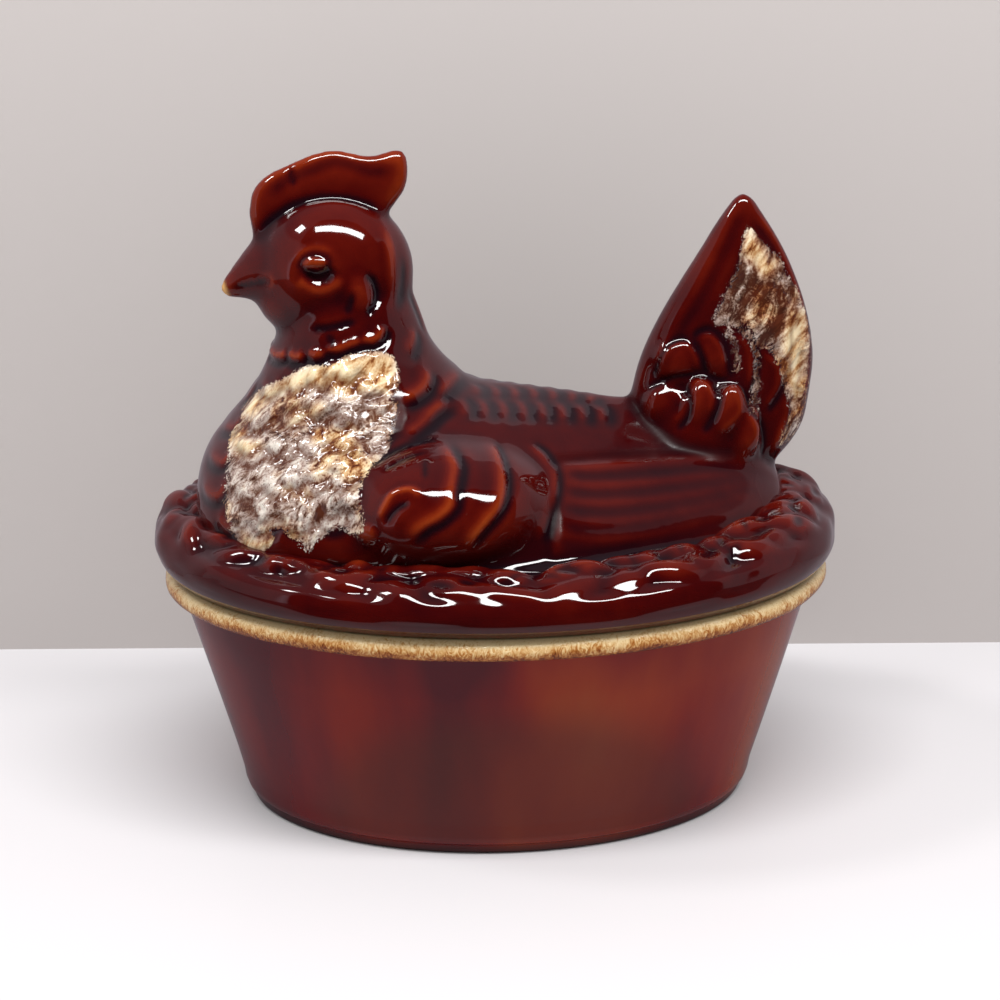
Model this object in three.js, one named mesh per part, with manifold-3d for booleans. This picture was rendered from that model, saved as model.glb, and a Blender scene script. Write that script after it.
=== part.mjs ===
// Hen on nest dish: an oval stoneware baking dish whose lid is a hen sitting on her nest.
// It is two fired pieces. The dish has a rolled rim and a foot ring. The lid is one hollow
// slip casting: the nest, the hen and her comb and tail, with a flange that drops into the
// dish's mouth and keeps the lid from sliding off.
// Millimetres, +Z up. The origin is on the table under the middle of the dish, and the hen
// faces -X.
import * as THREE from "three";
import { mergeVertices } from "three/addons/utils/BufferGeometryUtils.js";
import Module from "manifold-3d";

const wasm = await Module();
wasm.setup();

// Dish: driving sizes
const rim_length = 276; // over the rolled rim, along X
const rim_width = 213; // over the rolled rim, along Y
const dish_height = 101.5; // table to the rim's flat top
const wall = 6.5; // of the dish
const wall_lean = 24; // how far a side leans in from rim to foot
const roll_radius = 4.5; // of the rolled rim
const roll_stand = 7; // how far the roll stands out from the side
const lip_radius = 1.5; // inner edge of the mouth
const floor_thickness = 7;
const floor_corner = 16; // inside radius between floor and side
const foot_height = 4;
const foot_inset = 1.5; // foot ring, in from the side's lower edge
const foot_ring_width = 7;
const foot_recess = 2; // hollow under the floor, inside the foot ring
const foot_edge = 0.8; // small chamfer of the foot ring

// Lid: nest and flange
const seat_gap = 0.3; // lid seat over the rim's flat top
const lid_wall = 6.5; // of the slip casting
const nest_overhang = 3; // nest's widest line, out from the rolled rim
const nest_tube = 17.5; // half the width of the nest's rolled edge
const nest_rise = 29.5; // lid seat to the nest's crest
const nest_belly = 12; // lid seat to the nest's widest line
const pool_rise = 17.7; // lid seat to the floor of the groove between hen and nest
const straw_relief = 1.4; // lumps of straw on the nest
const straw_lumps = 18; // lumps around the nest
const flange_depth = 9.5;
const flange_wall = 5;
const flange_gap = 1.5; // flange to the mouth of the dish

// Lid: the hen's body, neck and head
const body_margin = 20; // nest's widest line to the breast and the rump, along X
const body_forward = 2.5; // body's middle, forward of the dish's middle
const body_width = 158;
const body_rise = 78.5; // lid seat to the highest line of the back
const body_waist = 22; // lid seat to the body's widest line
const back_slope = 0.4; // share of its height that the back loses from breast to tail
const head_setback = 59; // breast to the middle of the head
const head_rise = 119.5; // lid seat to the middle of the head
const head_length = 63;
const head_width = 53;
const head_height = 61;
const neck_front = 24.5; // middle of the head to the throat
const neck_back = 31; // middle of the head to the nape
const neck_width = 52;
const breast_width = 124;
const breast_depth = 118; // breast to the neck's root on the back
const beak_length = 20;
const beak_depth = 27;
const beak_width = 25;
const beak_drop = 7.5; // tip, below the beak's root
const eye_length = 11;
const eye_bulge = 5;
const ear_length = 19;
const ear_width = 9;
const comb_length = 63.5;
const comb_height = 34;
const comb_thickness = 13;
const comb_back = 30; // comb's rear end, behind the middle of the head
const comb_seat = 14; // comb's lower corners, above the middle of the head

// Lid: wings, hackles and tail
const shoulder_length = 80;
const shoulder_height = 50;
const shoulder_depth = 72; // across the hen
const shoulder_bulge = 11; // wing, out from the widest line of the body
const shoulder_setback = 106; // breast to the middle of the shoulder
const shoulder_rise = 36; // lid seat to the middle of the shoulder
const covert_thickness = 7; // a feather of the shoulder
const wing_overlap = 14; // folded wing, forward of the shoulder's middle
const quill_width = 12; // a long feather of the wing
const quill_thickness = 17;
const quill_count = 5;
const wing_tip_inset = 8; // wing tip, in from the rump
const flank_length = 136; // the hen's side under the wing, down in the groove
const flank_width = 50;
const flank_height = 27;
const flank_bulge = 7; // out from the widest line of the body
const hackle_length = 21;
const hackle_width = 15;
const hackle_thickness = 8;
const tail_length = 76; // front to back
const tail_height = 112; // root to tip
const tail_root_rise = 37; // lid seat to the tail's root
const tail_overhang = 12; // tail, behind the rump
const tail_thickness = 34; // at its root
const tail_tip_thickness = 12;
const cushion_length = 74; // feathered swelling at the tail's root
const cushion_width = 62;
const cushion_height = 56;
const lobe_length = 25; // short feather on the tail
const lobe_width = 15.5;
const lobe_thickness = 14;

const merge_distance = 1e-4; // vertices of one surface that are nearer than this are one

// Sizes that follow from the ones above
const rim_half = rim_length / 2;
const narrowing = (rim_length - rim_width) / 2;
const seat_z = dish_height + seat_gap;
const side_top_z = dish_height - 2 * roll_radius;
const side_top = rim_half - roll_stand;
const lean = wall_lean / (side_top_z - foot_height);
const mouth = outerSide(dish_height) - wall;
const floor_z = foot_recess + floor_thickness;
const foot_half = side_top - wall_lean - foot_inset;
const knee = outerSide(floor_z) - wall - floor_corner;
const nest_half = rim_half + nest_overhang;
const nest_crest = nest_half - nest_tube;
const body_length = 2 * (nest_half - body_margin);
const breast_x = -body_forward - body_length / 2;
const rump_x = -body_forward + body_length / 2;
const head_x = breast_x + head_setback;
const head_z = seat_z + head_rise;

// Radius of the dish's outer side at a height, along X
function outerSide(z) {
  return side_top + (z - side_top_z) * lean;
}

// Width that goes with a radius along X: walls keep their thickness, floors scale
function across(r) {
  return r - narrowing * Math.min(1, r / knee);
}

// Closed geometry to solid
function solid(geometry) {
  const bare = new THREE.BufferGeometry();
  bare.setAttribute("position", geometry.getAttribute("position"));
  if (geometry.index) bare.setIndex(geometry.index);
  const merged = mergeVertices(bare, merge_distance);
  const corners = merged.index.array;
  const kept = [];
  for (let i = 0; i < corners.length; i += 3) {
    const [a, b, c] = corners.slice(i, i + 3);
    if (a !== b && b !== c && c !== a) kept.push(a, b, c);
  }
  return new wasm.Manifold(
    new wasm.Mesh({
      numProp: 3,
      vertProperties: merged.getAttribute("position").array,
      triVerts: new Uint32Array(kept),
    }),
  );
}

// Solid to named mesh
function meshOf(name, made, material) {
  const found = made.getMesh();
  const geometry = new THREE.BufferGeometry();
  geometry.setAttribute("position", new THREE.BufferAttribute(found.vertProperties, 3));
  geometry.setIndex(new THREE.BufferAttribute(found.triVerts, 1));
  geometry.computeVertexNormals();
  const mesh = new THREE.Mesh(geometry, material);
  mesh.name = name;
  return mesh;
}

// Moves every vertex of a geometry by a function of its place
function reshape(geometry, move) {
  const places = geometry.getAttribute("position");
  const p = new THREE.Vector3();
  for (let i = 0; i < places.count; i++) {
    p.fromBufferAttribute(places, i);
    move(p);
    places.setXYZ(i, p.x, p.y, p.z);
  }
  return geometry;
}

// Points on an elliptical arc, angles in degrees from the first radius
function arc(x, z, rx, rz, from, to, steps) {
  const points = [];
  for (let i = 0; i <= steps; i++) {
    const angle = THREE.MathUtils.degToRad(from + ((to - from) * i) / steps);
    points.push(new THREE.Vector2(x + rx * Math.cos(angle), z + rz * Math.sin(angle)));
  }
  return points;
}

// A profile of radius along X and height, turned round Z and narrowed to the oval.
// relief(around, radius, height), if given, lifts the surface.
function turned(profile, steps, relief) {
  const lathe = new THREE.LatheGeometry(profile, steps);
  lathe.rotateX(Math.PI / 2);
  return reshape(lathe, (p) => {
    const around = Math.atan2(p.y, p.x);
    const lift = relief ? relief(around, Math.hypot(p.x, p.y), p.z) : 0;
    const r = Math.hypot(p.x, p.y) + lift;
    p.set(r * Math.cos(around), across(r) * Math.sin(around), p.z + lift / 2);
  });
}

// The outline of a superellipse: 1 in the middle, 0 at both ends
function swell(share, power) {
  return Math.pow(Math.max(0, 1 - Math.pow(Math.abs(share), power)), 1 / power);
}

// Value at a share along a table of [share, value, value, ...], with straight stretches
function read(table, share, column) {
  const next = table.findIndex((row) => row[0] >= share);
  if (next <= 0) return table[Math.max(0, next)][column];
  const [low, high] = [table[next - 1], table[next]];
  return THREE.MathUtils.mapLinear(share, low[0], high[0], low[column], high[column]);
}

// An ellipsoid with its own axes: a feather, an eye, a swelling
function pebble(at, length, width, thickness, forward, outward, detail = 8) {
  const unit = new THREE.SphereGeometry(1, detail, Math.round(detail * 0.6));
  const x = forward.clone().normalize();
  const y = outward.clone().cross(x).normalize();
  const z = x.clone().cross(y);
  unit.scale(length / 2, width / 2, thickness / 2);
  unit.applyMatrix4(new THREE.Matrix4().makeBasis(x, y, z).setPosition(at));
  return solid(unit);
}

const union = (solids) => solids.reduce((all, one) => all.add(one));
const place = (x, y, z) => new THREE.Vector3(x, y, z);
const ahead = place(-1, 0, 0);
const up = place(0, 0, 1);

function dish() {
  const around = 64;
  const roll_z = dish_height - roll_radius;
  const corner_z = floor_z + floor_corner;
  const profile = [
    place2(0, foot_recess),
    place2(foot_half - foot_ring_width, foot_recess),
    place2(foot_half - foot_ring_width + foot_edge, 0),
    place2(foot_half - foot_edge, 0),
    place2(foot_half, foot_edge),
    place2(foot_half, foot_height),
    place2(outerSide(foot_height + foot_inset), foot_height + foot_inset),
    place2(outerSide(side_top_z), side_top_z),
    ...arc(rim_half - roll_radius, roll_z, roll_radius, roll_radius, -90, 90, 6),
    ...arc(mouth + lip_radius, dish_height - lip_radius, lip_radius, lip_radius, 90, 180, 3),
    ...arc(
      outerSide(corner_z) - wall - floor_corner,
      corner_z,
      floor_corner,
      floor_corner,
      0,
      -90,
      4,
    ),
    place2(0, floor_z),
  ];
  return solid(turned(profile, around));
}

function place2(x, z) {
  return new THREE.Vector2(x, z);
}

// How high the nest stands: [along its length, height], as shares of half its length and of
// its rise. It is low beside the hen and high at both ends.
const crest_shares = [
  [-1, 1],
  [-0.9, 0.89],
  [-0.77, 0.79],
  [-0.5, 0.73],
  [0, 0.72],
  [0.33, 0.76],
  [0.6, 0.84],
  [0.8, 0.92],
  [1, 1],
];

// The nest's rolled edge, and the floor of the groove between it and the hen
function nest() {
  const around = 72;
  const belly_z = seat_z + nest_belly;
  const crown = nest_rise - nest_belly;
  const pool_z = seat_z + pool_rise;
  const profile = [
    place2(0, seat_z),
    ...arc(nest_crest, belly_z, nest_tube, nest_belly * 1.22, -55, 0, 2),
    ...arc(nest_crest, belly_z, nest_tube, crown, 22, 140, 6),
    place2(nest_crest - nest_tube, pool_z),
    place2(0, pool_z),
  ];
  const lumps = (angle, r, z) => {
    const outer = THREE.MathUtils.smoothstep(r, nest_crest - nest_tube, nest_crest);
    const upper = THREE.MathUtils.smoothstep(z, belly_z - crown / 2, belly_z + crown / 2);
    const lump = Math.cos(straw_lumps * angle) + Math.cos((straw_lumps / 2) * angle);
    return (straw_relief / 2) * lump * outer * upper;
  };
  return solid(
    reshape(turned(profile, around, lumps), (p) => {
      const along = THREE.MathUtils.clamp(p.x / nest_crest, -1, 1);
      const low = seat_z + (p.z - seat_z) * read(crest_shares, along, 1);
      const r = Math.hypot(p.x, p.y + Math.sign(p.y) * narrowing);
      p.z = p.z < belly_z || r > nest_crest ? low : Math.max(low, pool_z);
    }),
  );
}

// The flange under the lid, which follows the leaning side of the mouth
function flange() {
  const top = mouth - flange_gap;
  const low = top - flange_depth * lean;
  const profile = [
    place2(low - flange_wall, seat_z - flange_depth),
    place2(low, seat_z - flange_depth),
    place2(top, seat_z),
    place2(top, seat_z + lid_wall),
    place2(low - flange_wall, seat_z + lid_wall),
    place2(low - flange_wall, seat_z - flange_depth),
  ];
  return solid(turned(profile, 60));
}

// The sitting body: a superellipsoid whose back falls towards the tail. skin makes it
// smaller all round, for the hollow inside.
function body(skin, detail) {
  const power = 2.7;
  const waist_z = seat_z + body_waist;
  const top = body_rise - body_waist - skin;
  const half_length = body_length / 2 - skin;
  const half_width = body_width / 2 - skin;
  const sphere = new THREE.SphereGeometry(1, detail, Math.round(detail * 0.8));
  sphere.rotateZ(Math.PI / 2);
  return solid(
    reshape(sphere, (p) => {
      const along = p.x;
      const ring = Math.hypot(p.y, p.z) || 1;
      const full = swell(along, power);
      const side = p.y / ring;
      const rise = p.z / ring;
      const fall = 1 - back_slope * ((along + 1) / 2 - 0.26);
      const height = rise > 0 ? top * fall : body_waist;
      p.set(
        -body_forward + along * half_length,
        side * half_width * full,
        waist_z + rise * height * (rise > 0 ? full : 1),
      );
    }),
  );
}

// Shares of the way from the breast to the head: [height, front, back, width]
const neck_shares = [
  [0.0, 0.0, 0.0, 0.0],
  [0.16, 0.05, 0.01, 0.03],
  [0.27, 0.15, 0.03, 0.14],
  [0.37, 0.31, 0.06, 0.3],
  [0.47, 0.54, 0.13, 0.47],
  [0.52, 0.69, 0.22, 0.57],
  [0.58, 0.81, 0.38, 0.68],
  [0.65, 0.88, 0.62, 0.79],
  [0.73, 0.97, 0.78, 0.89],
  [0.8, 1.02, 0.86, 0.94],
  [0.88, 1.0, 0.94, 0.97],
  [1.0, 0.96, 1.0, 1.0],
];

// Breast and neck in one sweep, from the nest up into the head
function neck(skin, detail) {
  const low_z = seat_z + body_waist;
  const tube = new THREE.CylinderGeometry(1, 1, 1, detail, neck_shares.length - 1);
  tube.rotateX(Math.PI / 2);
  return solid(
    reshape(tube, (p) => {
      const share = p.z + 1 / 2;
      const reach = Math.hypot(p.x, p.y);
      const [front, back, width] = [1, 2, 3].map((column) => read(neck_shares, share, column));
      const lerp = THREE.MathUtils.lerp;
      const x_front = lerp(breast_x, head_x - neck_front, front) + skin;
      const x_back = lerp(breast_x + breast_depth, head_x + neck_back, back) - skin;
      const half = lerp(breast_width, neck_width, width) / 2 - skin;
      const flat = reach ? Math.sign(p.x) * Math.pow(Math.abs(p.x / reach), 0.94) * reach : 0;
      p.set(
        (x_front + x_back) / 2 + (flat * (x_back - x_front)) / 2,
        p.y * half,
        lerp(low_z, head_z, share),
      );
    }),
  );
}

function head(skin, detail) {
  return pebble(
    place(head_x, 0, head_z),
    head_length - 2 * skin,
    head_width - 2 * skin,
    head_height - 2 * skin,
    ahead,
    up,
    detail,
  );
}

// Shares of the beak's length and of half its depth
const beak_shares = [
  [-0.5, 0.6],
  [0, 1],
  [0.2, 0.93],
  [0.42, 0.72],
  [0.6, 0.54],
  [0.78, 0.37],
  [0.93, 0.2],
];

function beak() {
  const root = head_length / 2 - beak_length / 4;
  const profile = beak_shares.map(([along, r]) => place2((r * beak_depth) / 2, along * beak_length));
  profile.unshift(place2(0, profile[0].y));
  profile.push(place2(0, beak_length));
  const cone = new THREE.LatheGeometry(profile, 14);
  cone.rotateZ(Math.PI / 2);
  return solid(
    reshape(cone, (p) => {
      const along = -p.x / beak_length;
      p.set(
        head_x - root + p.x,
        (-p.z * beak_width) / beak_depth,
        head_z + p.y - beak_drop * along,
      );
    }),
  );
}

// A fin in the middle plane of the hen, from shares [along, low, high] of its outline. It
// runs from 0 to 1 along X and is 1 high and 2 thick, with rounded edges.
function fin(shares, around, steps) {
  const sphere = new THREE.SphereGeometry(1, around, steps);
  sphere.rotateZ(Math.PI / 2);
  return reshape(sphere, (p) => {
    const ring = Math.hypot(p.y, p.z) || 1;
    const along = (p.x + 1) / 2;
    const [low, high] = [1, 2].map((column) => read(shares, along, column));
    const side = Math.sign(p.y) * Math.pow(Math.abs(p.y / ring), 0.7);
    const rise = Math.sign(p.z) * Math.pow(Math.abs(p.z / ring), 0.7);
    p.set(along, side * swell(p.x, 4), (low + high + rise * (high - low)) / 2);
  });
}

// The comb's outline from front to back, as shares of its length and height
const comb_shares = [
  [0, 0.28, 0.28],
  [0.01, 0.1, 0.42],
  [0.05, 0.02, 0.6],
  [0.1, 0, 0.69],
  [0.17, 0, 0.77],
  [0.24, 0, 0.81],
  [0.36, 0, 0.92],
  [0.54, 0, 1],
  [0.68, 0, 0.96],
  [0.76, 0.1, 0.91],
  [0.82, 0.2, 0.93],
  [0.88, 0.32, 0.99],
  [0.94, 0.47, 1],
  [0.98, 0.6, 0.95],
  [1, 0.78, 0.78],
];

function comb() {
  const made = fin(comb_shares, 12, 20);
  made.scale(comb_length, comb_thickness / 2, comb_height);
  made.translate(head_x + comb_back - comb_length, 0, head_z + comb_seat);
  return solid(made);
}

// The tail's outline from its root up, as shares of its height and length
const tail_shares = [
  [0, 0.5, 0.5],
  [0.02, 0.1, 0.75],
  [0.14, 0, 0.93],
  [0.27, 0.01, 0.99],
  [0.4, 0.06, 1],
  [0.56, 0.16, 0.955],
  [0.7, 0.28, 0.885],
  [0.81, 0.38, 0.815],
  [0.88, 0.44, 0.75],
  [0.94, 0.5, 0.69],
  [0.98, 0.54, 0.64],
  [1, 0.58, 0.58],
];

const tail_front = rump_x + tail_overhang - tail_length;

// Half the tail's thickness at a height above its root
function tailHalf(height) {
  return THREE.MathUtils.lerp(tail_thickness, tail_tip_thickness, height / tail_height) / 2;
}

function tail() {
  const made = fin(tail_shares, 14, 20);
  reshape(made, (p) => {
    p.set(
      tail_front + p.z * tail_length,
      p.y * tailHalf(p.x * tail_height),
      seat_z + tail_root_rise + p.x * tail_height,
    );
  });
  made.index.array.reverse();
  return solid(made);
}

function cushionAt() {
  return place(tail_front + tail_length * 0.48, 0, seat_z + tail_root_rise + cushion_height / 4);
}

// The feathered swelling where the tail leaves the back
function cushion() {
  return pebble(cushionAt(), cushion_length, cushion_width, cushion_height, ahead, up, 14);
}

// Short feathers on one side of the tail: [along, height, lean back, size], as shares of
// the tail's length and height, in degrees, and as a share of a feather
const lobe_shares = [
  [0.15, 0.26, -8, 0.95],
  [0.34, 0.24, 14, 1],
  [0.51, 0.2, 30, 1],
  [0.65, 0.11, 46, 1.05],
  [0.25, 0.42, 4, 1],
  [0.42, 0.45, 16, 1.05],
  [0.58, 0.42, 28, 1.1],
  [0.73, 0.33, 40, 1.15],
];

// Height of the tail's side, or of the cushion's where that stands out further
function tailSide(along, height) {
  const middle = cushionAt();
  const x = (tail_front + along * tail_length - middle.x) / (cushion_length / 2);
  const z = (seat_z + tail_root_rise + height * tail_height - middle.z) / (cushion_height / 2);
  const swelling = (cushion_width / 2) * Math.sqrt(Math.max(0, 1 - x * x - z * z));
  return Math.max(swelling, 0.9 * tailHalf(height * tail_height));
}

function tailLobes(side) {
  return lobe_shares.map(([along, height, lean_back, size]) => {
    const angle = THREE.MathUtils.degToRad(lean_back);
    const at = place(
      tail_front + along * tail_length,
      side * (tailSide(along, height) - lobe_thickness * 0.2),
      seat_z + tail_root_rise + height * tail_height,
    );
    const tip = place(Math.sin(angle), side * -0.3, Math.cos(angle));
    return pebble(
      at,
      size * lobe_length,
      size * lobe_width,
      lobe_thickness,
      tip,
      place(0, side, 0.25),
    );
  });
}

// Where the wing's shoulder sits on one side
function shoulderAt(side) {
  return place(
    breast_x + shoulder_setback,
    side * (body_width / 2 + shoulder_bulge - shoulder_depth / 2),
    seat_z + shoulder_rise,
  );
}

function shoulder(side, skin, detail) {
  return pebble(
    shoulderAt(side),
    shoulder_length - 2 * skin,
    shoulder_depth - 2 * skin,
    shoulder_height - 2 * skin,
    ahead,
    up,
    detail,
  );
}

// The hen's side under the wing, which meets the groove
function flank(side) {
  return pebble(
    place(
      breast_x + shoulder_setback,
      side * (body_width / 2 + flank_bulge - flank_width / 2),
      seat_z + pool_rise,
    ),
    flank_length,
    flank_width,
    flank_height,
    ahead,
    up,
    16,
  );
}

// Rounded feather layers of the shoulder, the foremost on top:
// [behind the middle, thickness, length, height] as shares
const covert_shares = [
  [-0.27, 1.3, 0.52, 0.66],
  [-0.1, 1.15, 0.6, 0.74],
  [0.1, 1, 0.68, 0.7],
];

function coverts(side) {
  const middle = shoulderAt(side);
  return covert_shares.map(([behind, thick, length, height]) => {
    const at = middle.clone();
    at.x += behind * shoulder_length;
    at.y += side * (shoulder_depth / 2 - covert_thickness) * swell(behind * 1.6, 2);
    return pebble(
      at,
      length * shoulder_length,
      height * shoulder_height,
      2 * thick * covert_thickness,
      place(-1, side * behind * 1.1, 0.1),
      place(behind * 1.1, side, 0.12),
      10,
    );
  });
}

// The folded wing behind the shoulder: [along, middle out, middle up, half depth, half
// height], as shares of its length, the body's half width and the shoulder's size
const wing_shares = [
  [0, 0.58, 0, 0.1, 0.1],
  [0.05, 0.59, 0.01, 0.7, 0.74],
  [0.22, 0.61, 0.03, 1, 0.98],
  [0.43, 0.58, 0.06, 0.9, 0.86],
  [0.64, 0.53, 0.1, 0.73, 0.74],
  [0.82, 0.48, 0.12, 0.56, 0.58],
  [0.93, 0.45, 0.12, 0.42, 0.4],
  [0.98, 0.43, 0.11, 0.26, 0.24],
  [1, 0.43, 0.11, 0.1, 0.08],
];

const wing_start = breast_x + shoulder_setback - wing_overlap;
const wing_length = rump_x - wing_tip_inset - wing_start;

// Middle and half sizes of the folded wing at a share of its length
function wingAt(along) {
  const [out, rise, depth, height] = [1, 2, 3, 4].map((column) => read(wing_shares, along, column));
  return {
    x: wing_start + along * wing_length,
    y: (out * body_width) / 2,
    z: seat_z + shoulder_rise + rise * shoulder_height,
    depth: (depth * shoulder_depth) / 2,
    height: (height * shoulder_height) / 2,
  };
}

function wing(side) {
  const sphere = new THREE.SphereGeometry(1, 14, 14);
  sphere.rotateZ(Math.PI / 2);
  return solid(
    reshape(sphere, (p) => {
      const ring = Math.hypot(p.y, p.z) || 1;
      const at = wingAt((p.x + 1) / 2);
      const close = swell(p.x, 5);
      p.set(
        at.x,
        side * at.y + (p.y / ring) * close * at.depth,
        at.z + (p.z / ring) * close * at.height,
      );
    }),
  );
}

// The long feathers of the wing, fanned from the shoulder back to the tip
function quills(side) {
  const made = [];
  const [front, back] = [wingAt(0.24), wingAt(0.95)];
  for (let i = 0; i < quill_count; i++) {
    const fan = (i / (quill_count - 1)) * 1.3 - 0.45;
    const [root, end] = [front, back].map((at) =>
      place(at.x, side * (at.y + at.depth * swell(fan, 2)), at.z + fan * at.height),
    );
    const forward = end.clone().sub(root);
    made.push(
      pebble(
        root.clone().lerp(end, 0.5),
        forward.length() * 1.06,
        quill_width,
        quill_thickness,
        forward,
        place(0.25, side, fan * 0.8),
        9,
      ),
    );
  }
  return made;
}

// Neck feathers that hang over breast and shoulder: [round from the throat, height, size],
// in degrees and as shares of the way from seat to head, and of a feather
const hackle_shares = [
  [14, 0.7, 0.9],
  [38, 0.69, 0.95],
  [62, 0.695, 1],
  [86, 0.7, 1.05],
  [112, 0.6, 1.35],
  [128, 0.47, 1.6],
];

function hackles(side) {
  return hackle_shares.map(([turn, height, size]) => {
    const angle = THREE.MathUtils.degToRad(turn);
    const share = (height * head_rise - body_waist) / (head_rise - body_waist);
    const lerp = THREE.MathUtils.lerp;
    const front = lerp(breast_x, head_x - neck_front, read(neck_shares, share, 1));
    const back = lerp(breast_x + breast_depth, head_x + neck_back, read(neck_shares, share, 2));
    const half = lerp(breast_width, neck_width, read(neck_shares, share, 3)) / 2;
    const outward = place(-Math.cos(angle), side * Math.sin(angle), 0);
    const at = place(
      (front + back) / 2 + (outward.x * (back - front)) / 2,
      outward.y * half,
      seat_z + height * head_rise,
    );
    at.addScaledVector(outward, -hackle_thickness / 4);
    const hang = place(outward.x * 0.45 + 0.25 * (turn > 90), outward.y * 0.45, -1);
    return pebble(
      at,
      size * hackle_length,
      size * hackle_width,
      hackle_thickness,
      hang,
      outward,
    );
  });
}

// Eye and ear on one side of the head
function face(side) {
  const cheek = (x, z) => {
    const dx = x / (head_length / 2);
    const dz = z / (head_height / 2);
    return (head_width / 2) * Math.sqrt(Math.max(0, 1 - dx * dx - dz * dz));
  };
  const eye = place(-head_length * 0.125, 0, head_height * 0.12);
  const ear = place(head_length * 0.16, 0, -head_height * 0.11);
  const eye_y = side * (cheek(eye.x, eye.z) - eye_bulge / 8);
  const ear_y = side * cheek(ear.x, ear.z);
  const outward = place(0, side, 0);
  return [
    pebble(
      place(head_x + eye.x, eye_y, head_z + eye.z),
      eye_length,
      eye_length * 0.7,
      eye_bulge,
      ahead,
      place(-0.1, side, 0.15),
      8,
    ),
    pebble(
      place(head_x + ear.x, ear_y, head_z + ear.z),
      ear_length,
      ear_width,
      eye_bulge,
      place(-0.25, 0, 1),
      outward,
      8,
    ),
  ];
}

// The hollow of the casting: under the nest, in the body, neck and head, and in the shoulders
function hollow() {
  const inner = mouth - flange_gap - flange_depth * lean - flange_wall;
  const deck = seat_z + pool_rise - lid_wall;
  const profile = [
    place2(0, seat_z - flange_depth - lid_wall),
    place2(inner, seat_z - flange_depth - lid_wall),
    place2(inner, deck - lid_wall),
    place2(inner - lid_wall, deck),
    place2(0, deck),
  ];
  return union([
    solid(turned(profile, 48)),
    body(lid_wall, 18),
    neck(lid_wall, 14),
    head(lid_wall * 1.5, 12),
    ...[-1, 1].map((side) => shoulder(side, lid_wall, 10)),
  ]);
}

function lid() {
  const outside = union([
    nest(),
    flange(),
    body(0, 26),
    neck(0, 20),
    head(0, 20),
    beak(),
    comb(),
    tail(),
    cushion(),
    ...[-1, 1].flatMap((side) => [
      shoulder(side, 0, 16),
      flank(side),
      wing(side),
      ...coverts(side),
      ...quills(side),
      ...hackles(side),
      ...face(side),
      ...tailLobes(side),
    ]),
  ]);
  return outside.subtract(hollow());
}

const brown_glaze = new THREE.MeshStandardMaterial({ color: 0x4a140b, roughness: 0.12, metalness: 0 });
const amber_glaze = new THREE.MeshStandardMaterial({ color: 0x5a2413, roughness: 0.15, metalness: 0 });

const hen_on_nest = new THREE.Group();
hen_on_nest.add(meshOf("dish", dish(), amber_glaze));
hen_on_nest.add(meshOf("hen_lid", lid(), brown_glaze));

export default hen_on_nest;
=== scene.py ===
# %% [markdown]
# A hen on nest dish in glossy brown stoneware. Two fired pieces make the real object: an oval
# baking dish, and a lid in the form of a hen sitting on her nest. The model of their solids
# is loaded first as a fixed frame, and everything below is the glazed surface made around it.
# Lengths are written in millimetres and turned into metres when a mesh is finished.

import math

import bmesh
import bpy
import numpy as np
from mathutils import Matrix, Quaternion, Vector
from mathutils.bvhtree import BVHTree
from mathutils.kdtree import KDTree


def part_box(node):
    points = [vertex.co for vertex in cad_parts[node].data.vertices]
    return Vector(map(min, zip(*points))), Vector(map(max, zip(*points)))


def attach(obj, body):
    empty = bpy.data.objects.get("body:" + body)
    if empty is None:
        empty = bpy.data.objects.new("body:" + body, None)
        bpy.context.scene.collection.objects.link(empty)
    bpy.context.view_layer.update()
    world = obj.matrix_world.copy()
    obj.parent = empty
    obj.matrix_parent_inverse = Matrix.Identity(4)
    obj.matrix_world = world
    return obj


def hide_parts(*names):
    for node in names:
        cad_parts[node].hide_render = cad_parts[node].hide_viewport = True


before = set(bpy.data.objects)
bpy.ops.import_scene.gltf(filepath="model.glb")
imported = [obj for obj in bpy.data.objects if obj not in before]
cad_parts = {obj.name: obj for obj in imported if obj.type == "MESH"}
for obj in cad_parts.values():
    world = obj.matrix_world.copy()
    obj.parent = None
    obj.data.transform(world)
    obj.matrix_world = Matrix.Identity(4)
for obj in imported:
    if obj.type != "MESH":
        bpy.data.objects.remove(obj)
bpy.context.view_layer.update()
mm = 0.001
dish_low, dish_high = (np.array(corner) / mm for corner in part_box("dish"))
lid_low, lid_high = (np.array(corner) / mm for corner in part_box("hen_lid"))
print("dish", dish_high - dish_low, "lid", lid_high - lid_low)

# %% [markdown]
# The camera comes first, because the photograph's own view is used below to place feathers
# and glaze. It stands a little to the hen's front left, 16 degrees above the table.

# %% Camera
view_distance = 760
# The point that the camera turns round, off the middle of the dish
view_height = 124.5
view_side = 1.25
view_azimuth = math.radians(-4.0)
view_elevation = math.radians(16.2)
view_roll = math.radians(-0.23)
view_lens = 65.7
sensor = 36
picture = 1000

flat = math.cos(view_elevation)
back = Vector(
    (math.sin(view_azimuth) * flat, -math.cos(view_azimuth) * flat, math.sin(view_elevation))
)
eye_point = Vector((view_side, 0, view_height)) + back * view_distance
level = (-back).cross(Vector((0, 0, 1))).normalized()
upright = level.cross(-back)
right = level * math.cos(view_roll) + upright * math.sin(view_roll)
above = upright * math.cos(view_roll) - level * math.sin(view_roll)

camera = bpy.data.objects.new("camera", bpy.data.cameras.new("camera"))
camera.data.lens = view_lens
camera.data.sensor_width = sensor
axes = Matrix((right, above, back)).transposed().to_4x4()
camera.matrix_world = Matrix.Translation(eye_point * mm) @ axes
bpy.context.scene.collection.objects.link(camera)
bpy.context.scene.camera = camera
print("camera at", [round(c) for c in eye_point])


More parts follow.
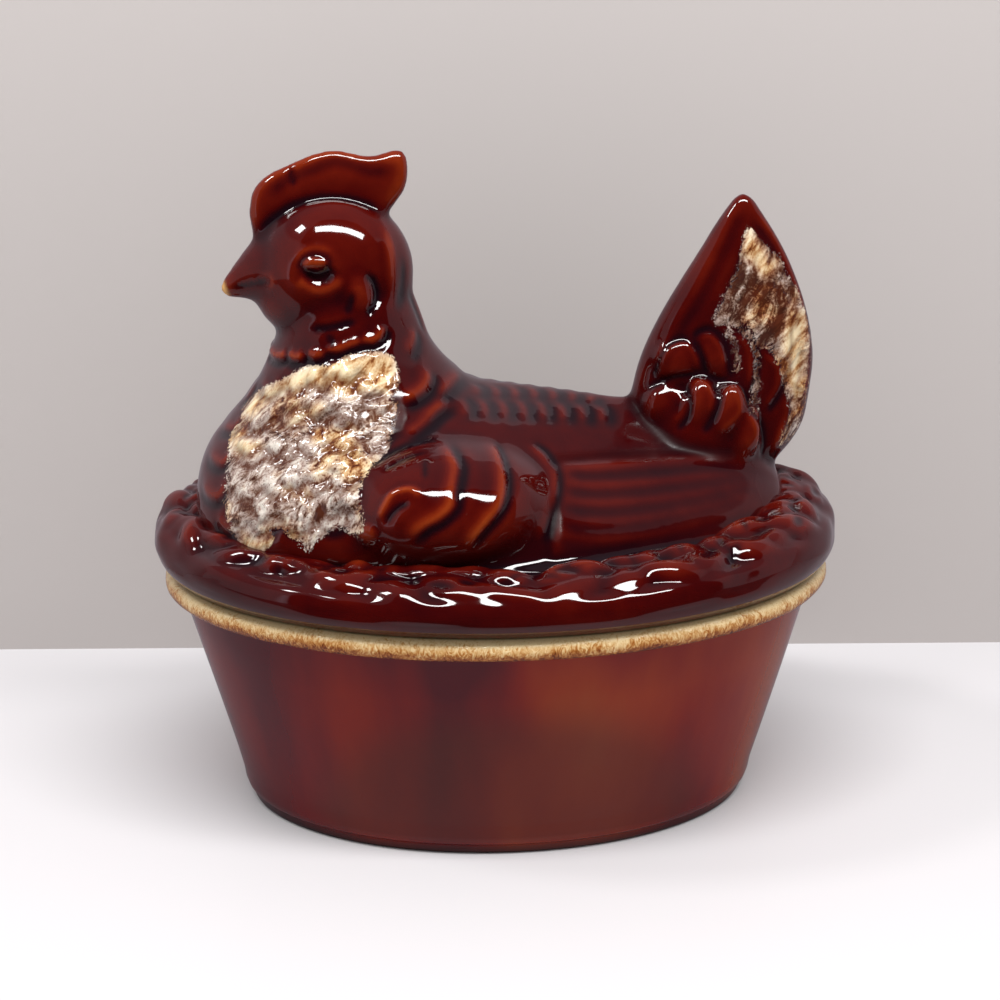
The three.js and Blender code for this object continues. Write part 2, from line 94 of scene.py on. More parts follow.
def sight(x, y):
    """Direction from the camera through a pixel of the 1000 pixel picture."""
    scale = sensor / view_lens / picture
    across, down = (x - picture / 2) * scale, (y - picture / 2) * scale
    return (-back + right * across - above * down).normalized()


def beside(x, y, out):
    """The place seen through a pixel, that far in front of the hen's middle plane."""
    ray = sight(x, y)
    return eye_point + ray * ((-out - eye_point.y) / ray.y)


# %% [markdown]
# Small helpers. A form is a bmesh in millimetres. Its vertices are moved all together as a
# numpy array, which reads like a formula for the shape. Tables of sections are read with
# smooth curves between their rows, as a modeller's spline would be.

# %% Helpers for forms
def corners(form):
    return np.array([v.co for v in form.verts])


def placed(form, *columns):
    """The form with its vertices moved to new X, Y and Z, given as three arrays."""
    for v, place in zip(form.verts, np.stack(columns, 1)):
        v.co = place
    return form


def curve(table, share, column):
    """Smooth value of one column of a table, at shares of its first column."""
    rows = np.array(table, float)
    x, y = rows[:, 0], rows[:, column]
    slope = np.gradient(y, x)
    at = np.clip(np.searchsorted(x, share) - 1, 0, len(x) - 2)
    step = x[at + 1] - x[at]
    t = np.clip((share - x[at]) / step, 0, 1)
    low, high = 2 * t**3 - 3 * t**2 + 1, 3 * t**2 - 2 * t**3
    bend = (t**3 - 2 * t**2 + t) * step * slope[at] + (t**3 - t**2) * step * slope[at + 1]
    return low * y[at] + high * y[at + 1] + bend


def swell(share, power):
    """1 in the middle and 0 at both ends, full in between as the power grows."""
    return np.clip(1 - np.abs(share) ** power, 0, 1) ** (1 / power)


def smoothstep(low, high, value):
    t = np.clip((value - low) / (high - low), 0, 1)
    return t * t * (3 - 2 * t)


def sphere(around, steps, axis="X"):
    """A unit sphere with its poles on an axis."""
    form = bmesh.new()
    bmesh.ops.create_uvsphere(form, u_segments=around, v_segments=steps, radius=1)
    if axis == "X":
        turn = Matrix.Rotation(math.pi / 2, 3, "Y")
        bmesh.ops.rotate(form, verts=form.verts, cent=(0, 0, 0), matrix=turn)
    return form


def pebble(at, radii, forward=(1, 0, 0), outward=(0, 0, 1), around=32, steps=20):
    """An ellipsoid with its own axes: a short feather, an eye, a part of the head."""
    form = sphere(around, steps)
    x = Vector(forward).normalized()
    y = Vector(outward).cross(x).normalized()
    z = x.cross(y)
    axes = Matrix((x * radii[0], y * radii[1], z * radii[2])).transposed()
    bmesh.ops.transform(form, matrix=Matrix.Translation(at) @ axes.to_4x4(), verts=form.verts)
    return form


def linked(name, data):
    """A new object in the scene."""
    thing = bpy.data.objects.new(name, data)
    bpy.context.scene.collection.objects.link(thing)
    return thing


def joined(name, forms):
    """One mesh object, in millimetres, out of several closed forms."""
    whole = bmesh.new()
    for form in forms:
        part = bpy.data.meshes.new("part")
        form.to_mesh(part)
        whole.from_mesh(part)
        bpy.data.meshes.remove(part)
        form.free()
    mesh = bpy.data.meshes.new(name)
    whole.to_mesh(mesh)
    whole.free()
    return linked(name, mesh)


def applied(piece):
    """The piece with its modifiers made into its mesh."""
    seen = piece.evaluated_get(bpy.context.evaluated_depsgraph_get())
    mesh = bpy.data.meshes.new_from_object(seen)
    piece.modifiers.clear()
    old = piece.data
    piece.data = mesh
    bpy.data.meshes.remove(old)
    return piece


def remeshed(piece, size):
    """The forms of a piece as one skin of small squares, like clay pressed together."""
    skin = piece.modifiers.new("skin", "REMESH")
    skin.mode = "VOXEL"
    skin.voxel_size = size
    skin.adaptivity = 0
    return applied(piece)


# %% [markdown]
# A skin is a mesh seen as arrays: places, normals and edges. Smoothing, carving and raising
# are then one line each, quick enough for a hundred thousand points, where a modifier stack
# for every groove would be slow and hard to read.

# %% Helpers for skins
def read(data, name, width, kind=float):
    """One property of all vertices, normals or edges, as the rows of an array."""
    flat = np.empty(len(data) * width, kind)
    data.foreach_get(name, flat)
    return flat.reshape(-1, width)


def read_places(mesh):
    return read(mesh.vertices, "co", 3)


def write_places(mesh, places):
    mesh.vertices.foreach_set("co", places.ravel())
    mesh.update()


def read_normals(mesh):
    return read(mesh.vertex_normals, "vector", 3, np.float32).astype(float)


def read_edges(mesh):
    return read(mesh.edges, "vertices", 2, np.int32)


def relaxed(values, edges, times):
    """Values of the vertices, each drawn towards the mean of its neighbours."""
    count = np.maximum(np.bincount(edges.ravel(), minlength=len(values)), 1.0)
    out = values.astype(float).copy()
    flat = out.ndim == 1
    out = out[:, None] if flat else out
    for _ in range(times):
        total = np.zeros_like(out)
        for column in range(out.shape[1]):
            a, b = out[edges[:, 0], column], out[edges[:, 1], column]
            total[:, column] = np.bincount(edges[:, 0], b, len(out))
            total[:, column] += np.bincount(edges[:, 1], a, len(out))
        out += 0.5 * (total / count[:, None] - out)
    return out[:, 0] if flat else out


def store(mesh, name, values):
    """Keep one value for each vertex, for the shader to read by name."""
    layer = mesh.attributes.new(name, "FLOAT", "POINT")
    layer.data.foreach_set("value", np.asarray(values, np.float32))


def fade_ends(along, taper):
    if taper <= 0:
        return np.ones(len(along))
    return smoothstep(0, taper, along) * smoothstep(0, taper, 1 - along)


def flow(points, spacing):
    """A smooth line through a few points, as an array of close points."""
    points = np.array(points, float)
    ends = np.vstack([2 * points[0] - points[1], points, 2 * points[-1] - points[-2]])
    line = [points[:1]]
    for a, b, c, d in zip(ends, ends[1:], ends[2:], ends[3:]):
        steps = max(2, int(np.linalg.norm(c - b) / spacing) + 1)
        t = np.linspace(0, 1, steps + 1)[1:, None]
        square, cube = 2 * a - 5 * b + 4 * c - d, 3 * b - a - 3 * c + d
        line.append(0.5 * (2 * b + (c - a) * t + square * t**2 + cube * t**3))
    return np.vstack(line)


def inside(polygon, x, z, line=False):
    """Distance inside an outline, negative outside; every place is outside a line."""
    polygon = flow(polygon if line else polygon + polygon[:1], 2.0)
    gap = np.full(len(x), 1e9)
    odd = np.zeros(len(x), bool)
    for (ax, az), (bx, bz) in zip(polygon, polygon[1:]):
        length = (bx - ax) ** 2 + (bz - az) ** 2
        if length == 0:
            continue
        t = np.clip(((x - ax) * (bx - ax) + (z - az) * (bz - az)) / length, 0, 1)
        gap = np.minimum(gap, np.hypot(x - ax - t * (bx - ax), z - az - t * (bz - az)))
        crosses = (az > z) != (bz > z)
        at = ax + (z - az) * (bx - ax) / (bz - az + 1e-12)
        odd ^= crosses & (x < at)
    return np.where(odd & (not line), gap, -gap)


def pixels_of(places):
    """Where the camera sees each place, in pixels."""
    gap = places - np.array(eye_point)
    depth = gap @ np.array(-back)
    scale = view_lens / sensor * picture
    x = picture / 2 + gap @ np.array(right) / depth * scale
    y = picture / 2 - gap @ np.array(above) / depth * scale
    return x, y


def near_pixels(places):
    """The same for places on the far side's mirror image, which faces the camera."""
    near = places.copy()
    near[:, 1] = -np.abs(near[:, 1])
    return pixels_of(near)


# %% [markdown]
# The dish. Thrown or pressed, an oval dish is a round profile whose walls keep their
# thickness while its floor is drawn out to an oval. So the profile is spun round and then
# narrowed: near the rim by a constant amount, near the middle in proportion.

# %% Sizes of the dish
rim_half = (dish_high[0] - dish_low[0]) / 2
narrowing = rim_half - (dish_high[1] - dish_low[1]) / 2
dish_height = dish_high[2]
wall = 6.5
wall_lean = 24
roll_radius = 4.5
roll_stand = 7
lip_radius = 1.5
floor_height = 9
floor_corner = 16
foot_height = 4
foot_inset = 1.5
foot_ring = 7
foot_recess = 2
belly_corner = 9
side_top_z = dish_height - 2 * roll_radius
side_top = rim_half - roll_stand
lean = wall_lean / (side_top_z - foot_height)
mouth = side_top + 2 * roll_radius * lean - wall
foot_half = side_top - wall_lean - foot_inset
knee = side_top + (floor_height - side_top_z) * lean - wall - floor_corner
turns = 360


def outer_side(z):
    return side_top + (z - side_top_z) * lean


def across(r):
    return r - narrowing * np.minimum(1, r / knee)


def arc(x, z, radius, start, end, steps):
    angles = np.radians(np.linspace(start, end, steps + 1))
    return [(x + radius * math.cos(a), z + radius * math.sin(a)) for a in angles]


def along_line(a, b, steps):
    return [tuple(p) for p in np.linspace(a, b, steps + 1)[1:-1]]


def spun_oval(profile, steps=turns, reshape=None):
    """A profile of radius along X and height, spun and narrowed to the oval."""
    form = bmesh.new()
    line = [form.verts.new((r, 0, z)) for r, z in profile]
    edges = [form.edges.new(pair) for pair in zip(line, line[1:])]
    if profile[0] != profile[-1] and profile[0][0] > 0:
        edges.append(form.edges.new((line[-1], line[0])))
    turn = {"cent": (0, 0, 0), "axis": (0, 0, 1), "angle": 2 * math.pi, "steps": steps}
    bmesh.ops.spin(form, geom=line + edges, use_merge=True, **turn)
    bmesh.ops.remove_doubles(form, verts=form.verts, dist=0.001)
    places = corners(form)
    r = np.hypot(places[:, 0], places[:, 1])
    around = np.arctan2(places[:, 1], places[:, 0])
    z = reshape(r, around, places[:, 2]) if reshape else places[:, 2]
    placed(form, r * np.cos(around), across(r) * np.sin(around), z)
    bmesh.ops.recalc_face_normals(form, faces=form.faces)
    return form


# %% Model the dish
roll_z = dish_height - roll_radius
roll_x = rim_half - roll_radius
side_start = (outer_side(foot_height + belly_corner), foot_height + belly_corner)
side_end = (outer_side(side_top_z - 1), side_top_z - 1)
corner_z = floor_height + floor_corner
corner_x = outer_side(corner_z) - wall - floor_corner
inner_low = (corner_x + floor_corner, corner_z)
dish_profile = [
    (0, foot_recess), (foot_half * 0.5, foot_recess), (foot_half - foot_ring, foot_recess),
    (foot_half - foot_ring + 0.8, 0.5), (foot_half - foot_ring + 1.4, 0), (foot_half - 1.2, 0),
    (foot_half - 0.4, 0.4), (foot_half, 1.2), (foot_half, foot_height - 0.6),
    (foot_half + 0.4, foot_height), (foot_half + 1.4, foot_height + 0.5),
    (foot_half + 2.3, foot_height + 1.8), (foot_half + 3.2, foot_height + 4.5), side_start,
    *along_line(side_start, side_end, 40), side_end,
    (outer_side(side_top_z) + 0.4, side_top_z + 0.3),
    (outer_side(side_top_z) + 1.3, side_top_z + 0.7),
    *arc(roll_x, roll_z, roll_radius, -62, 18, 12), (roll_x + 4.05, roll_z + 2.0),
    (roll_x + 3.5, roll_z + 2.75), (roll_x + 2.6, roll_z + 3.35), (roll_x + 1.2, roll_z + 4.0),
    (roll_x - 0.6, roll_z + 4.42), (roll_x - 2, dish_height),
    (mouth + lip_radius + 2, dish_height),
    *arc(mouth + lip_radius, dish_height - lip_radius, lip_radius, 90, 180, 5),
    *along_line((mouth, dish_height - lip_radius), inner_low, 24),
    *arc(corner_x, corner_z, floor_corner, 0, -90, 12), (corner_x * 0.66, floor_height),
    (corner_x * 0.33, floor_height), (0, floor_height),
]
dish = joined("glazed_dish", [spun_oval(dish_profile)])
print("dish", len(dish.data.polygons), "faces")

# %% [markdown]
# A hand-finished rim is never quite even, and glaze thickens where it runs. A slow waver of
# the rolled rim and a faint unevenness of the side keep reflections from looking machined.
# The same arrays hold what the glaze needs to know: where the roll is, how high a place
# lies, whether it is inside, and what the lid rests on.

# %% Unevenness and glaze masks of the dish
places = read_places(dish.data)
around = np.arctan2(places[:, 1], places[:, 0])
outside = np.hypot(places[:, 0], places[:, 1] * rim_half / (rim_half - narrowing))
on_roll = smoothstep(side_top_z - 1.5, side_top_z + 0.5, places[:, 2])
on_roll *= smoothstep(mouth - 4, mouth + 1.5, outside)
# Waves round the roll: height, how many, and where they start
waves = [(0.16, 5, 0.6), (0.12, 11, 2), (0.1, 23, 0)]
waver = sum(high * np.sin(many * around + start) for high, many, start in waves)
dent = 0.25 * np.sin(3 * around + 0.04 * places[:, 2]) + 0.15 * np.sin(7 * around + 1.3)
on_side = smoothstep(8, 25, places[:, 2]) * (1 - smoothstep(80, 92, places[:, 2]))
on_side *= smoothstep(-1, 1, outside - outer_side(places[:, 2]) + wall * 0.5)
push = np.where(on_roll > 0, np.abs(waver) * -on_roll, dent * on_side)
places[:, :2] *= (1 + push / np.maximum(outside, 1))[:, None]
write_places(dish.data, places)
store(dish.data, "roll", on_roll)
store(dish.data, "height", places[:, 2])
lining = smoothstep(0, 2, outer_side(places[:, 2]) - wall * 0.5 - outside)
store(dish.data, "lining", lining * smoothstep(4, 8, places[:, 2]))
under_lid = smoothstep(0, 0.8, rim_half - 4.6 - outside)
under_lid *= smoothstep(1.4, 0.9, dish_height - places[:, 2])
store(dish.data, "seat", under_lid)
print("share of the dish's vertices on the roll", round(on_roll.mean(), 2))

# %% [markdown]
# The hen. Slip-cast animals start as clay: big rounded masses pressed together, then feathers
# cut and raised on top. The same order works here. The masses are ellipsoids and lofts read
# from short tables of sections, joined into one skin by a voxel remesh and smoothed, so that
# neck runs into breast and tail into back without a seam.

# %% Sizes of the hen
seat_z = 101.8
nest_half = rim_half + 3
nest_tube = 17.5
nest_crest = nest_half - nest_tube
nest_belly = 12
nest_rise = 29.5
lid_wall = 6.5
body_forward = 2.5
body_length = 242
body_width = 158
body_rise = 78.5
body_waist = 22
back_slope = 0.4
# Share of the body's width that is left at shares of her length, from the middle back
rump_taper = [
    (-0.2, 1.0), (0.0, 0.985), (0.17, 0.955), (0.34, 0.88), (0.43, 0.835), (0.6, 0.765),
    (0.74, 0.735), (0.9, 0.72), (1, 0.7),
]
# Fullness of her sides at shares of her length: round in front, a straight roof behind
side_fullness = [(-0.25, 2.0), (-0.05, 1.8), (0.12, 1.45), (0.25, 1.3), (1, 1.3)]
pool_z = 119.5
deck_z = pool_z + 1.3
breast_x = -body_forward - body_length / 2
head_x = breast_x + 59
head_z = seat_z + 119.5


# %% Body, and the breast with the neck
def body(skin=0, around=96, steps=64):
    form = sphere(around, steps)
    p = corners(form)
    ring = np.maximum(np.hypot(p[:, 1], p[:, 2]), 1e-6)
    full = swell(p[:, 0], 2.7)
    side, rise = p[:, 1] / ring, p[:, 2] / ring
    flatten = 2 / np.where(rise > 0, curve(side_fullness, p[:, 0], 1), 2)
    side = np.sign(side) * np.abs(side) ** flatten
    rise = np.sign(rise) * np.abs(rise) ** flatten
    fall = 1 - back_slope * ((p[:, 0] + 1) / 2 - 0.26)
    top = (body_rise - body_waist - skin) * fall * full
    height = np.where(rise > 0, top, body_waist + 2)
    x = -body_forward + p[:, 0] * (body_length / 2 - skin)
    y = side * (body_width / 2 - skin) * full * curve(rump_taper, p[:, 0], 1)
    z = seat_z + body_waist + rise * height
    return placed(form, x, y, z)


# Height, front, back and half width of the neck, from the nest to the middle of the head
neck_sections = [
    (116, -119, 0, 58), (127, -122.5, 4, 60), (137, -121.5, 6, 60), (148, -118, 6, 57.5),
    (157, -113.5, 4, 54), (166, -107, -2, 49), (175, -99, -9, 43.5), (183, -94.5, -18, 38.5),
    (191, -91, -25, 34.5), (199, -88, -29, 31), (208, -87, -31.5, 28.5), (216, -88, -33.5, 27),
    (222, -88, -35, 26),
]


def neck(skin=0, around=72, steps=48):
    form = sphere(around, steps, axis="Z")
    p = corners(form)
    low, high = neck_sections[0][0], neck_sections[-1][0]
    z = low + (high - low) * np.arccos(np.clip(-p[:, 2], -1, 1)) / math.pi
    front, rear, half = (curve(neck_sections, z, column) for column in (1, 2, 3))
    ring = np.maximum(np.hypot(p[:, 0], p[:, 1]), 1e-6)
    close = swell(p[:, 2], 14)
    x = (front + rear) / 2 + p[:, 0] / ring * close * ((rear - front) / 2 - skin)
    y = p[:, 1] / ring * close * (half - skin)
    return placed(form, x, y, z)


# %% Head and beak
# Distance along X, upper and lower edge, and half width of the beak
beak_sections = [
    (-110.3, 214.8, 214.8, 0), (-109.9, 217.4, 212.6, 2.2), (-108.6, 219.3, 211.5, 3.2),
    (-106.6, 222.0, 211.2, 4.3), (-104, 225.4, 211.1, 5.5), (-100.5, 229.8, 210.8, 7.6),
    (-96.8, 234.2, 209.6, 10), (-92, 238, 207, 13), (-84, 243, 201, 18), (-74, 243, 201, 18),
    (-70, 222, 222, 0),
]


def beak():
    form = sphere(40, 40)
    p = corners(form)
    first, last = beak_sections[0][0], beak_sections[-1][0]
    x = first + (last - first) * (1 - np.cos(np.arccos(np.clip(-p[:, 0], -1, 1)))) / 2
    upper, lower, half = (curve(beak_sections, x, column) for column in (1, 2, 3))
    ring = np.maximum(np.hypot(p[:, 1], p[:, 2]), 1e-6)
    side = np.sign(p[:, 1]) * np.abs(p[:, 1] / ring) ** 1.1
    z = (upper + lower) / 2 + p[:, 2] / ring * np.maximum(upper - lower, 0) / 2
    return placed(form, x, side * np.maximum(half, 0), z)


def head():
    return [
        pebble((head_x, 0, head_z), (31.5, 26, 30.5), around=64, steps=48),
        pebble((head_x - 8, 0, head_z - 8), (24, 21, 19), around=48, steps=32),
        beak(),
    ]


# %% Comb and tail
# Shares of the comb's length, and of its height at its lower and upper edge
comb_sections = [
    (0, 0.28, 0.28), (0.012, 0.1, 0.44), (0.05, 0, 0.6), (0.1, -0.1, 0.69), (0.17, -0.1, 0.77),
    (0.24, -0.1, 0.82), (0.36, -0.1, 0.92), (0.47, -0.1, 0.98), (0.57, -0.1, 0.99),
    (0.68, -0.05, 0.945), (0.76, 0.06, 0.92), (0.82, 0.17, 0.94), (0.88, 0.3, 0.98),
    (0.94, 0.44, 0.985), (0.985, 0.6, 0.92), (1, 0.77, 0.77),
]
comb_x, comb_length = -97.7, 63.6
comb_z, comb_height = 235.2, 34.3
comb_half = 6.3

# Shares of the tail's height, and of its length at its front and rear edge
tail_sections = [
    (0, 0.3, 0.8), (0.06, 0.05, 0.87), (0.14, 0.0, 0.945), (0.27, 0.015, 0.985), (0.4, 0.06, 1),
    (0.56, 0.165, 0.96), (0.7, 0.285, 0.885), (0.81, 0.385, 0.805), (0.88, 0.445, 0.74),
    (0.94, 0.505, 0.68), (0.98, 0.55, 0.635), (1, 0.59, 0.59),
]
tail_x, tail_length = 54.5, 76
tail_z, tail_height = 138.8, 112.4


def fin(sections, around=48, steps=64):
    """A flat form with rounded edges: 1 long, up to 1 high and 2 thick."""
    form, power = sphere(around, steps), 0.72
    p = corners(form)
    share = (p[:, 0] + 1) / 2
    low, high = curve(sections, share, 1), curve(sections, share, 2)
    ring = np.maximum(np.hypot(p[:, 1], p[:, 2]), 1e-6)
    side = np.sign(p[:, 1]) * np.abs(p[:, 1] / ring) ** power * swell(p[:, 0], 4)
    rise = np.sign(p[:, 2]) * np.abs(p[:, 2] / ring) ** power
    return placed(form, share, side, (low + high + rise * (high - low)) / 2)


def comb():
    form = fin(comb_sections)
    p = corners(form)
    thin = 1 - 0.22 * smoothstep(0.2, 1, p[:, 2])
    x, z = comb_x + p[:, 0] * comb_length, comb_z + p[:, 2] * comb_height
    return placed(form, x, p[:, 1] * comb_half * thin, z)


def tail_half(height_share):
    return 5.2 + 12.5 * (1 - height_share) ** 0.9


def tail():
    form = fin(tail_sections, 56, 80)
    p = corners(form)
    x, z = tail_x + p[:, 2] * tail_length, tail_z + p[:, 0] * tail_height
    placed(form, x, p[:, 1] * tail_half(p[:, 0]), z)
    bmesh.ops.reverse_faces(form, faces=form.faces)
    return form


# %% Shoulder
shoulder_at = (-27, 51, 138.5)
shoulder_front, shoulder_rear = 38, 46
shoulder_depth, shoulder_height = 38.5, 25.5


def shoulder(side):
    form = sphere(64, 48)
    p = corners(form)
    reach = np.where(p[:, 0] < 0, shoulder_front, shoulder_rear)
    radii = np.stack([reach, np.full(len(p), shoulder_depth), np.full(len(p), shoulder_height)], 1)
    x, y, z = shoulder_at
    return placed(form, *(p * radii + np.array([x, side * y, z])).T)


# %% [markdown]
# The small masses: ear, eye, collar lumps, and the two rows of short round feathers where
# the tail leaves the back. Each sits on one of the big masses and is repeated on the far
# side. They are clay too, so they go in before the skin is made.

# %% Small masses
# Pixel of the middle, distance from the hen's middle plane, half length, half width, half
# thickness, and lean in degrees, of the round feathers at the root of the tail
tail_feathers = [
    (677.5, 361, 9.5, 9.8, 9.6, 6.2, 12), (710, 355, 9.5, 10.6, 6.6, 5.6, -20),
    (741.5, 362, 8.5, 14.5, 4.8, 5.2, -12), (770, 384, 7.5, 13.8, 4.8, 5, 6),
    (665.5, 406, 11.5, 9.4, 9.4, 6.4, 0), (699, 405, 17, 11.2, 6.6, 6.4, 10),
    (728, 411, 19.5, 12, 6.8, 6.2, 18), (745, 434, 20, 12.5, 6.2, 6, 14),
    (777, 424, 9, 13, 4.8, 5, 12),
]
cushion_at = (84, 0, 151)
cushion_radii = (31, 25, 26)
# Middle, half sizes, and where the length and the flat side point: eye, ear and collar
ear = beside(359, 296, 23.5)
face_masses = [
    ((-71.6, 23.8, 228.2), (5.6, 3.1, 2.9), (-1, -0.3, -0.06), (-0.3, 1, 0.25)),
    ((ear.x, 23.5, ear.z), (10, 5.6, 4.6), (-0.25, 0, 1), (0.2, 1, 0)),
    ((-62, 19.5, 199.5), (11, 7, 4.4), (1, 0, 0.12), (0, 1, 0)),
]


def small_masses(side):
    rows = []
    for px, py, out, length, width, thickness, lean_over in tail_feathers:
        angle, at = math.radians(lean_over), beside(px, py, out)
        forward = (math.sin(angle), -0.12, math.cos(angle))
        rows.append(((at.x, out, at.z), (length, width, thickness), forward, (0, 1, 0)))
    forms = []
    for at, radii, forward, outward in rows + face_masses:
        at, forward, outward = ((x, side * y, z) for x, y, z in (at, forward, outward))
        forms.append(pebble(at, radii, forward, outward))
    return forms


def deck():
    """The floor of the groove between hen and nest, where glaze lies in a pool."""
    edge = rim_half - 22
    profile = [(0, pool_z - 6), (edge, pool_z - 6), (edge, deck_z), (0, deck_z)]
    return spun_oval(profile, 180)


masses = [body(), neck(), *head(), comb(), tail(), pebble(cushion_at, cushion_radii), deck()]
for side in (-1, 1):
    masses += [shoulder(side), *small_masses(side)]
hen = joined("glazed_hen", masses)
print("masses", len(hen.data.polygons), "faces")
clay_size = 1.25
remeshed(hen, clay_size)
print("hen skin", len(hen.data.polygons), "faces")

# %% Smooth the joins of the masses
edges = read_edges(hen.data)
places = read_places(hen.data)
crisp = relaxed(places, edges, 16)
soft = relaxed(places, edges, 60)
# Head, comb and tail keep their edges; the rest is worked smooth
x, z = crisp[:, 0], crisp[:, 2]
tail_foot = 157 - (x - 60) * 0.25
keep = smoothstep(184, 192, z)
keep = np.maximum(keep, smoothstep(-7, 7, z - tail_foot) * smoothstep(46, 56, x))
write_places(hen.data, soft + (crisp - soft) * keep[:, None])

# %% [markdown]
# Feathers. On the real hen they are shallow: a groove, and beside it the raised lip of the
# feather above, where the glaze breaks to rust. Each line below is a few listed pixels of
# the photograph. A ray through each pixel finds its place on the skin, so the line lies on
# the form where it is seen, and the far side gets its mirror image.

# %% Carving tools
def onto(tree, line):
    """Places on the skin seen through the pixels of a line."""
    found = []
    for x, y in flow(line, 1.5):
        hit = tree.ray_cast(eye_point, sight(x, y))
        if hit[0] is not None:
            found.append((*hit[0], *hit[1]))
    return np.array(found)


class Skin:
    """A skin that is being carved: how far each vertex is to move along its normal, and
    where the glaze will pool or turn to rust."""

    def __init__(self, piece):
        self.mesh = piece.data
        self.start = read_places(self.mesh)
        self.edges = read_edges(self.mesh)
        self.normals = read_normals(self.mesh)
        self.tree = BVHTree.FromPolygons(
            [Vector(p) for p in self.start], [tuple(f.vertices) for f in self.mesh.polygons]
        )
        self.near = KDTree(len(self.start))
        for i, p in enumerate(self.start):
            self.near.insert(p, i)
        self.near.balance()
        self.lift = np.zeros(len(self.start))
        self.pool = np.zeros(len(self.start))
        self.rust = np.zeros(len(self.start))
        self.lines = 0

    def offsets(self, line, reach):
        """Vertices near a line on the skin, with their signed distance from it and how far
        along it they are, from 0 to 1. The distance is positive on the line's left side."""
        best = {}
        for k, row in enumerate(line):
            for _, i, distance in self.near.find_range(Vector(row[:3]), reach):
                if i not in best or distance < best[i][0]:
                    best[i] = (distance, k)
        if not best:
            return np.zeros(0, int), np.zeros(0), np.zeros(0)
        chosen = np.array(list(best))
        distance, k = (np.array(column) for column in zip(*best.values()))
        k = k.astype(int)
        forward = np.gradient(line[:, :3], axis=0)
        left = np.cross(line[:, 3:], forward)
        gap = self.start[chosen] - line[k, :3]
        sign = np.sign(np.einsum("ij,ij->i", gap, left[k]))
        return chosen, distance * np.where(sign == 0, 1, sign), k / max(1, len(line) - 1)

    def both_sides(self, line):
        found = onto(self.tree, line)
        if len(found) < 3:
            return []
        far = found * np.array([1, -1, 1, 1, -1, 1])
        return [(found, 1), (far, -1)]

    def groove(self, line, width, depth, taper=0.15, stain=1):
        """A rounded groove along a line, or with a negative depth a ridge."""
        for found, _ in self.both_sides(line):
            chosen, offset, along = self.offsets(found, width)
            fade = fade_ends(along, taper)
            shape = np.cos(np.clip(offset / width, -1, 1) * math.pi / 2) ** 2
            self.lift[chosen] -= depth * shape * fade
            mask = self.pool if depth > 0 else self.rust
            mask[chosen] = np.maximum(mask[chosen], shape**2 * fade * stain)
            self.lines += 1

    def feather(self, line, lip, depth, reach, narrow, left=True, taper=0.12, stain=1):
        """The edge of a feather: its lip stands up on one side and drops into a groove on
        the other, where glaze pools."""
        for found, mirror in self.both_sides(line):
            chosen, offset, along = self.offsets(found, reach)
            offset = offset * mirror * (1 if left else -1)
            fade = fade_ends(along, taper)
            rise = smoothstep(-narrow * 0.4, narrow, offset)
            rise *= 1 - smoothstep(narrow, reach, offset)
            drop = np.exp(-(((offset + narrow * 0.7) / narrow) ** 2))
            self.lift[chosen] += fade * (lip * rise - depth * drop)
            self.pool[chosen] = np.maximum(self.pool[chosen], drop * fade * stain)
            glow = np.exp(-(((offset - reach * 0.3) / (reach * 0.3)) ** 2))
            self.rust[chosen] = np.maximum(self.rust[chosen], glow * fade * stain)
            self.lines += 1

    def dome(self, x, y, radii, height, lean=0, power=0.5):
        """A rounded swelling seen at a pixel, with its own half sizes."""
        for found, mirror in self.both_sides([(x - 1, y), (x, y), (x + 1, y)]):
            middle, normal = found[len(found) // 2, :3], found[len(found) // 2, 3:]
            flat = np.cross(normal, (0, 0, 1))
            flat /= np.linalg.norm(flat)
            up = np.cross(flat, normal)
            up *= np.sign(up[2])
            flat *= np.sign(flat[0])
            angle = math.radians(lean)
            first = flat * math.cos(angle) + up * math.sin(angle)
            second = up * math.cos(angle) - flat * math.sin(angle)
            rows = self.near.find_range(Vector(middle), max(radii) * 1.05)
            chosen = np.array([i for _, i, _ in rows], int)
            gap = self.start[chosen] - middle
            reach = np.hypot(gap @ first / radii[0], gap @ second / radii[1])
            self.lift[chosen] += height * np.clip(1 - reach**2, 0, 1) ** power

    def settle(self, times):
        """Move the skin by what was carved, softened a little."""
        lift = relaxed(self.lift, self.edges, times)
        write_places(self.mesh, self.start + self.normals * lift[:, None])


skin = Skin(hen)

# %% Carve the face
skin.groove([(231, 288), (240, 286.5), (252, 284.5), (262, 282.5), (268, 282)], 1.5, 0.85, 0.25)
mouth_corner = [(256, 276.5), (265, 275), (271, 277), (273, 282), (270, 287), (261, 289)]
skin.groove(mouth_corner, 2.1, -0.4, 0.3)
eye_line = [(298, 266), (304, 257), (315, 254), (326, 257), (329.5, 264), (324, 271)]
eye_line += [(313, 273), (304, 271), (298, 266)]
skin.groove(eye_line, 1.6, 1.0, 0)
skin.groove([(294, 268), (299, 256), (313, 248.5), (328, 251), (336, 262)], 3.2, -0.4, 0.3, 0.3)
skin.dome(319, 281, (9.5, 6.5), -1.4, 12, 1)
lower_lid = [(301, 273), (308, 279), (317, 283), (327, 281), (337, 272)]
skin.feather(lower_lid, 1.6, 1.7, 7, 2.0, False, 0.15, 0.3)
skin.dome(304, 280, (6, 4), -0.7, -50, 1)
skin.groove([(365, 274), (373, 280), (377, 290), (377, 300), (372, 309), (366, 316)], 2.0, 1.5)
skin.groove([(354, 292), (351, 300), (349, 308), (345, 315)], 2.2, 0.9, 0.3)
skin.groove([(307, 328), (320, 328.5), (332, 327), (346, 324), (358, 320)], 2.4, 1.2, 0.2)
hood = [(381, 220), (387, 236), (390.5, 252), (391.5, 270), (391.5, 288), (390, 304), (386, 318)]
skin.groove(hood, 5, -0.6, 0.3)
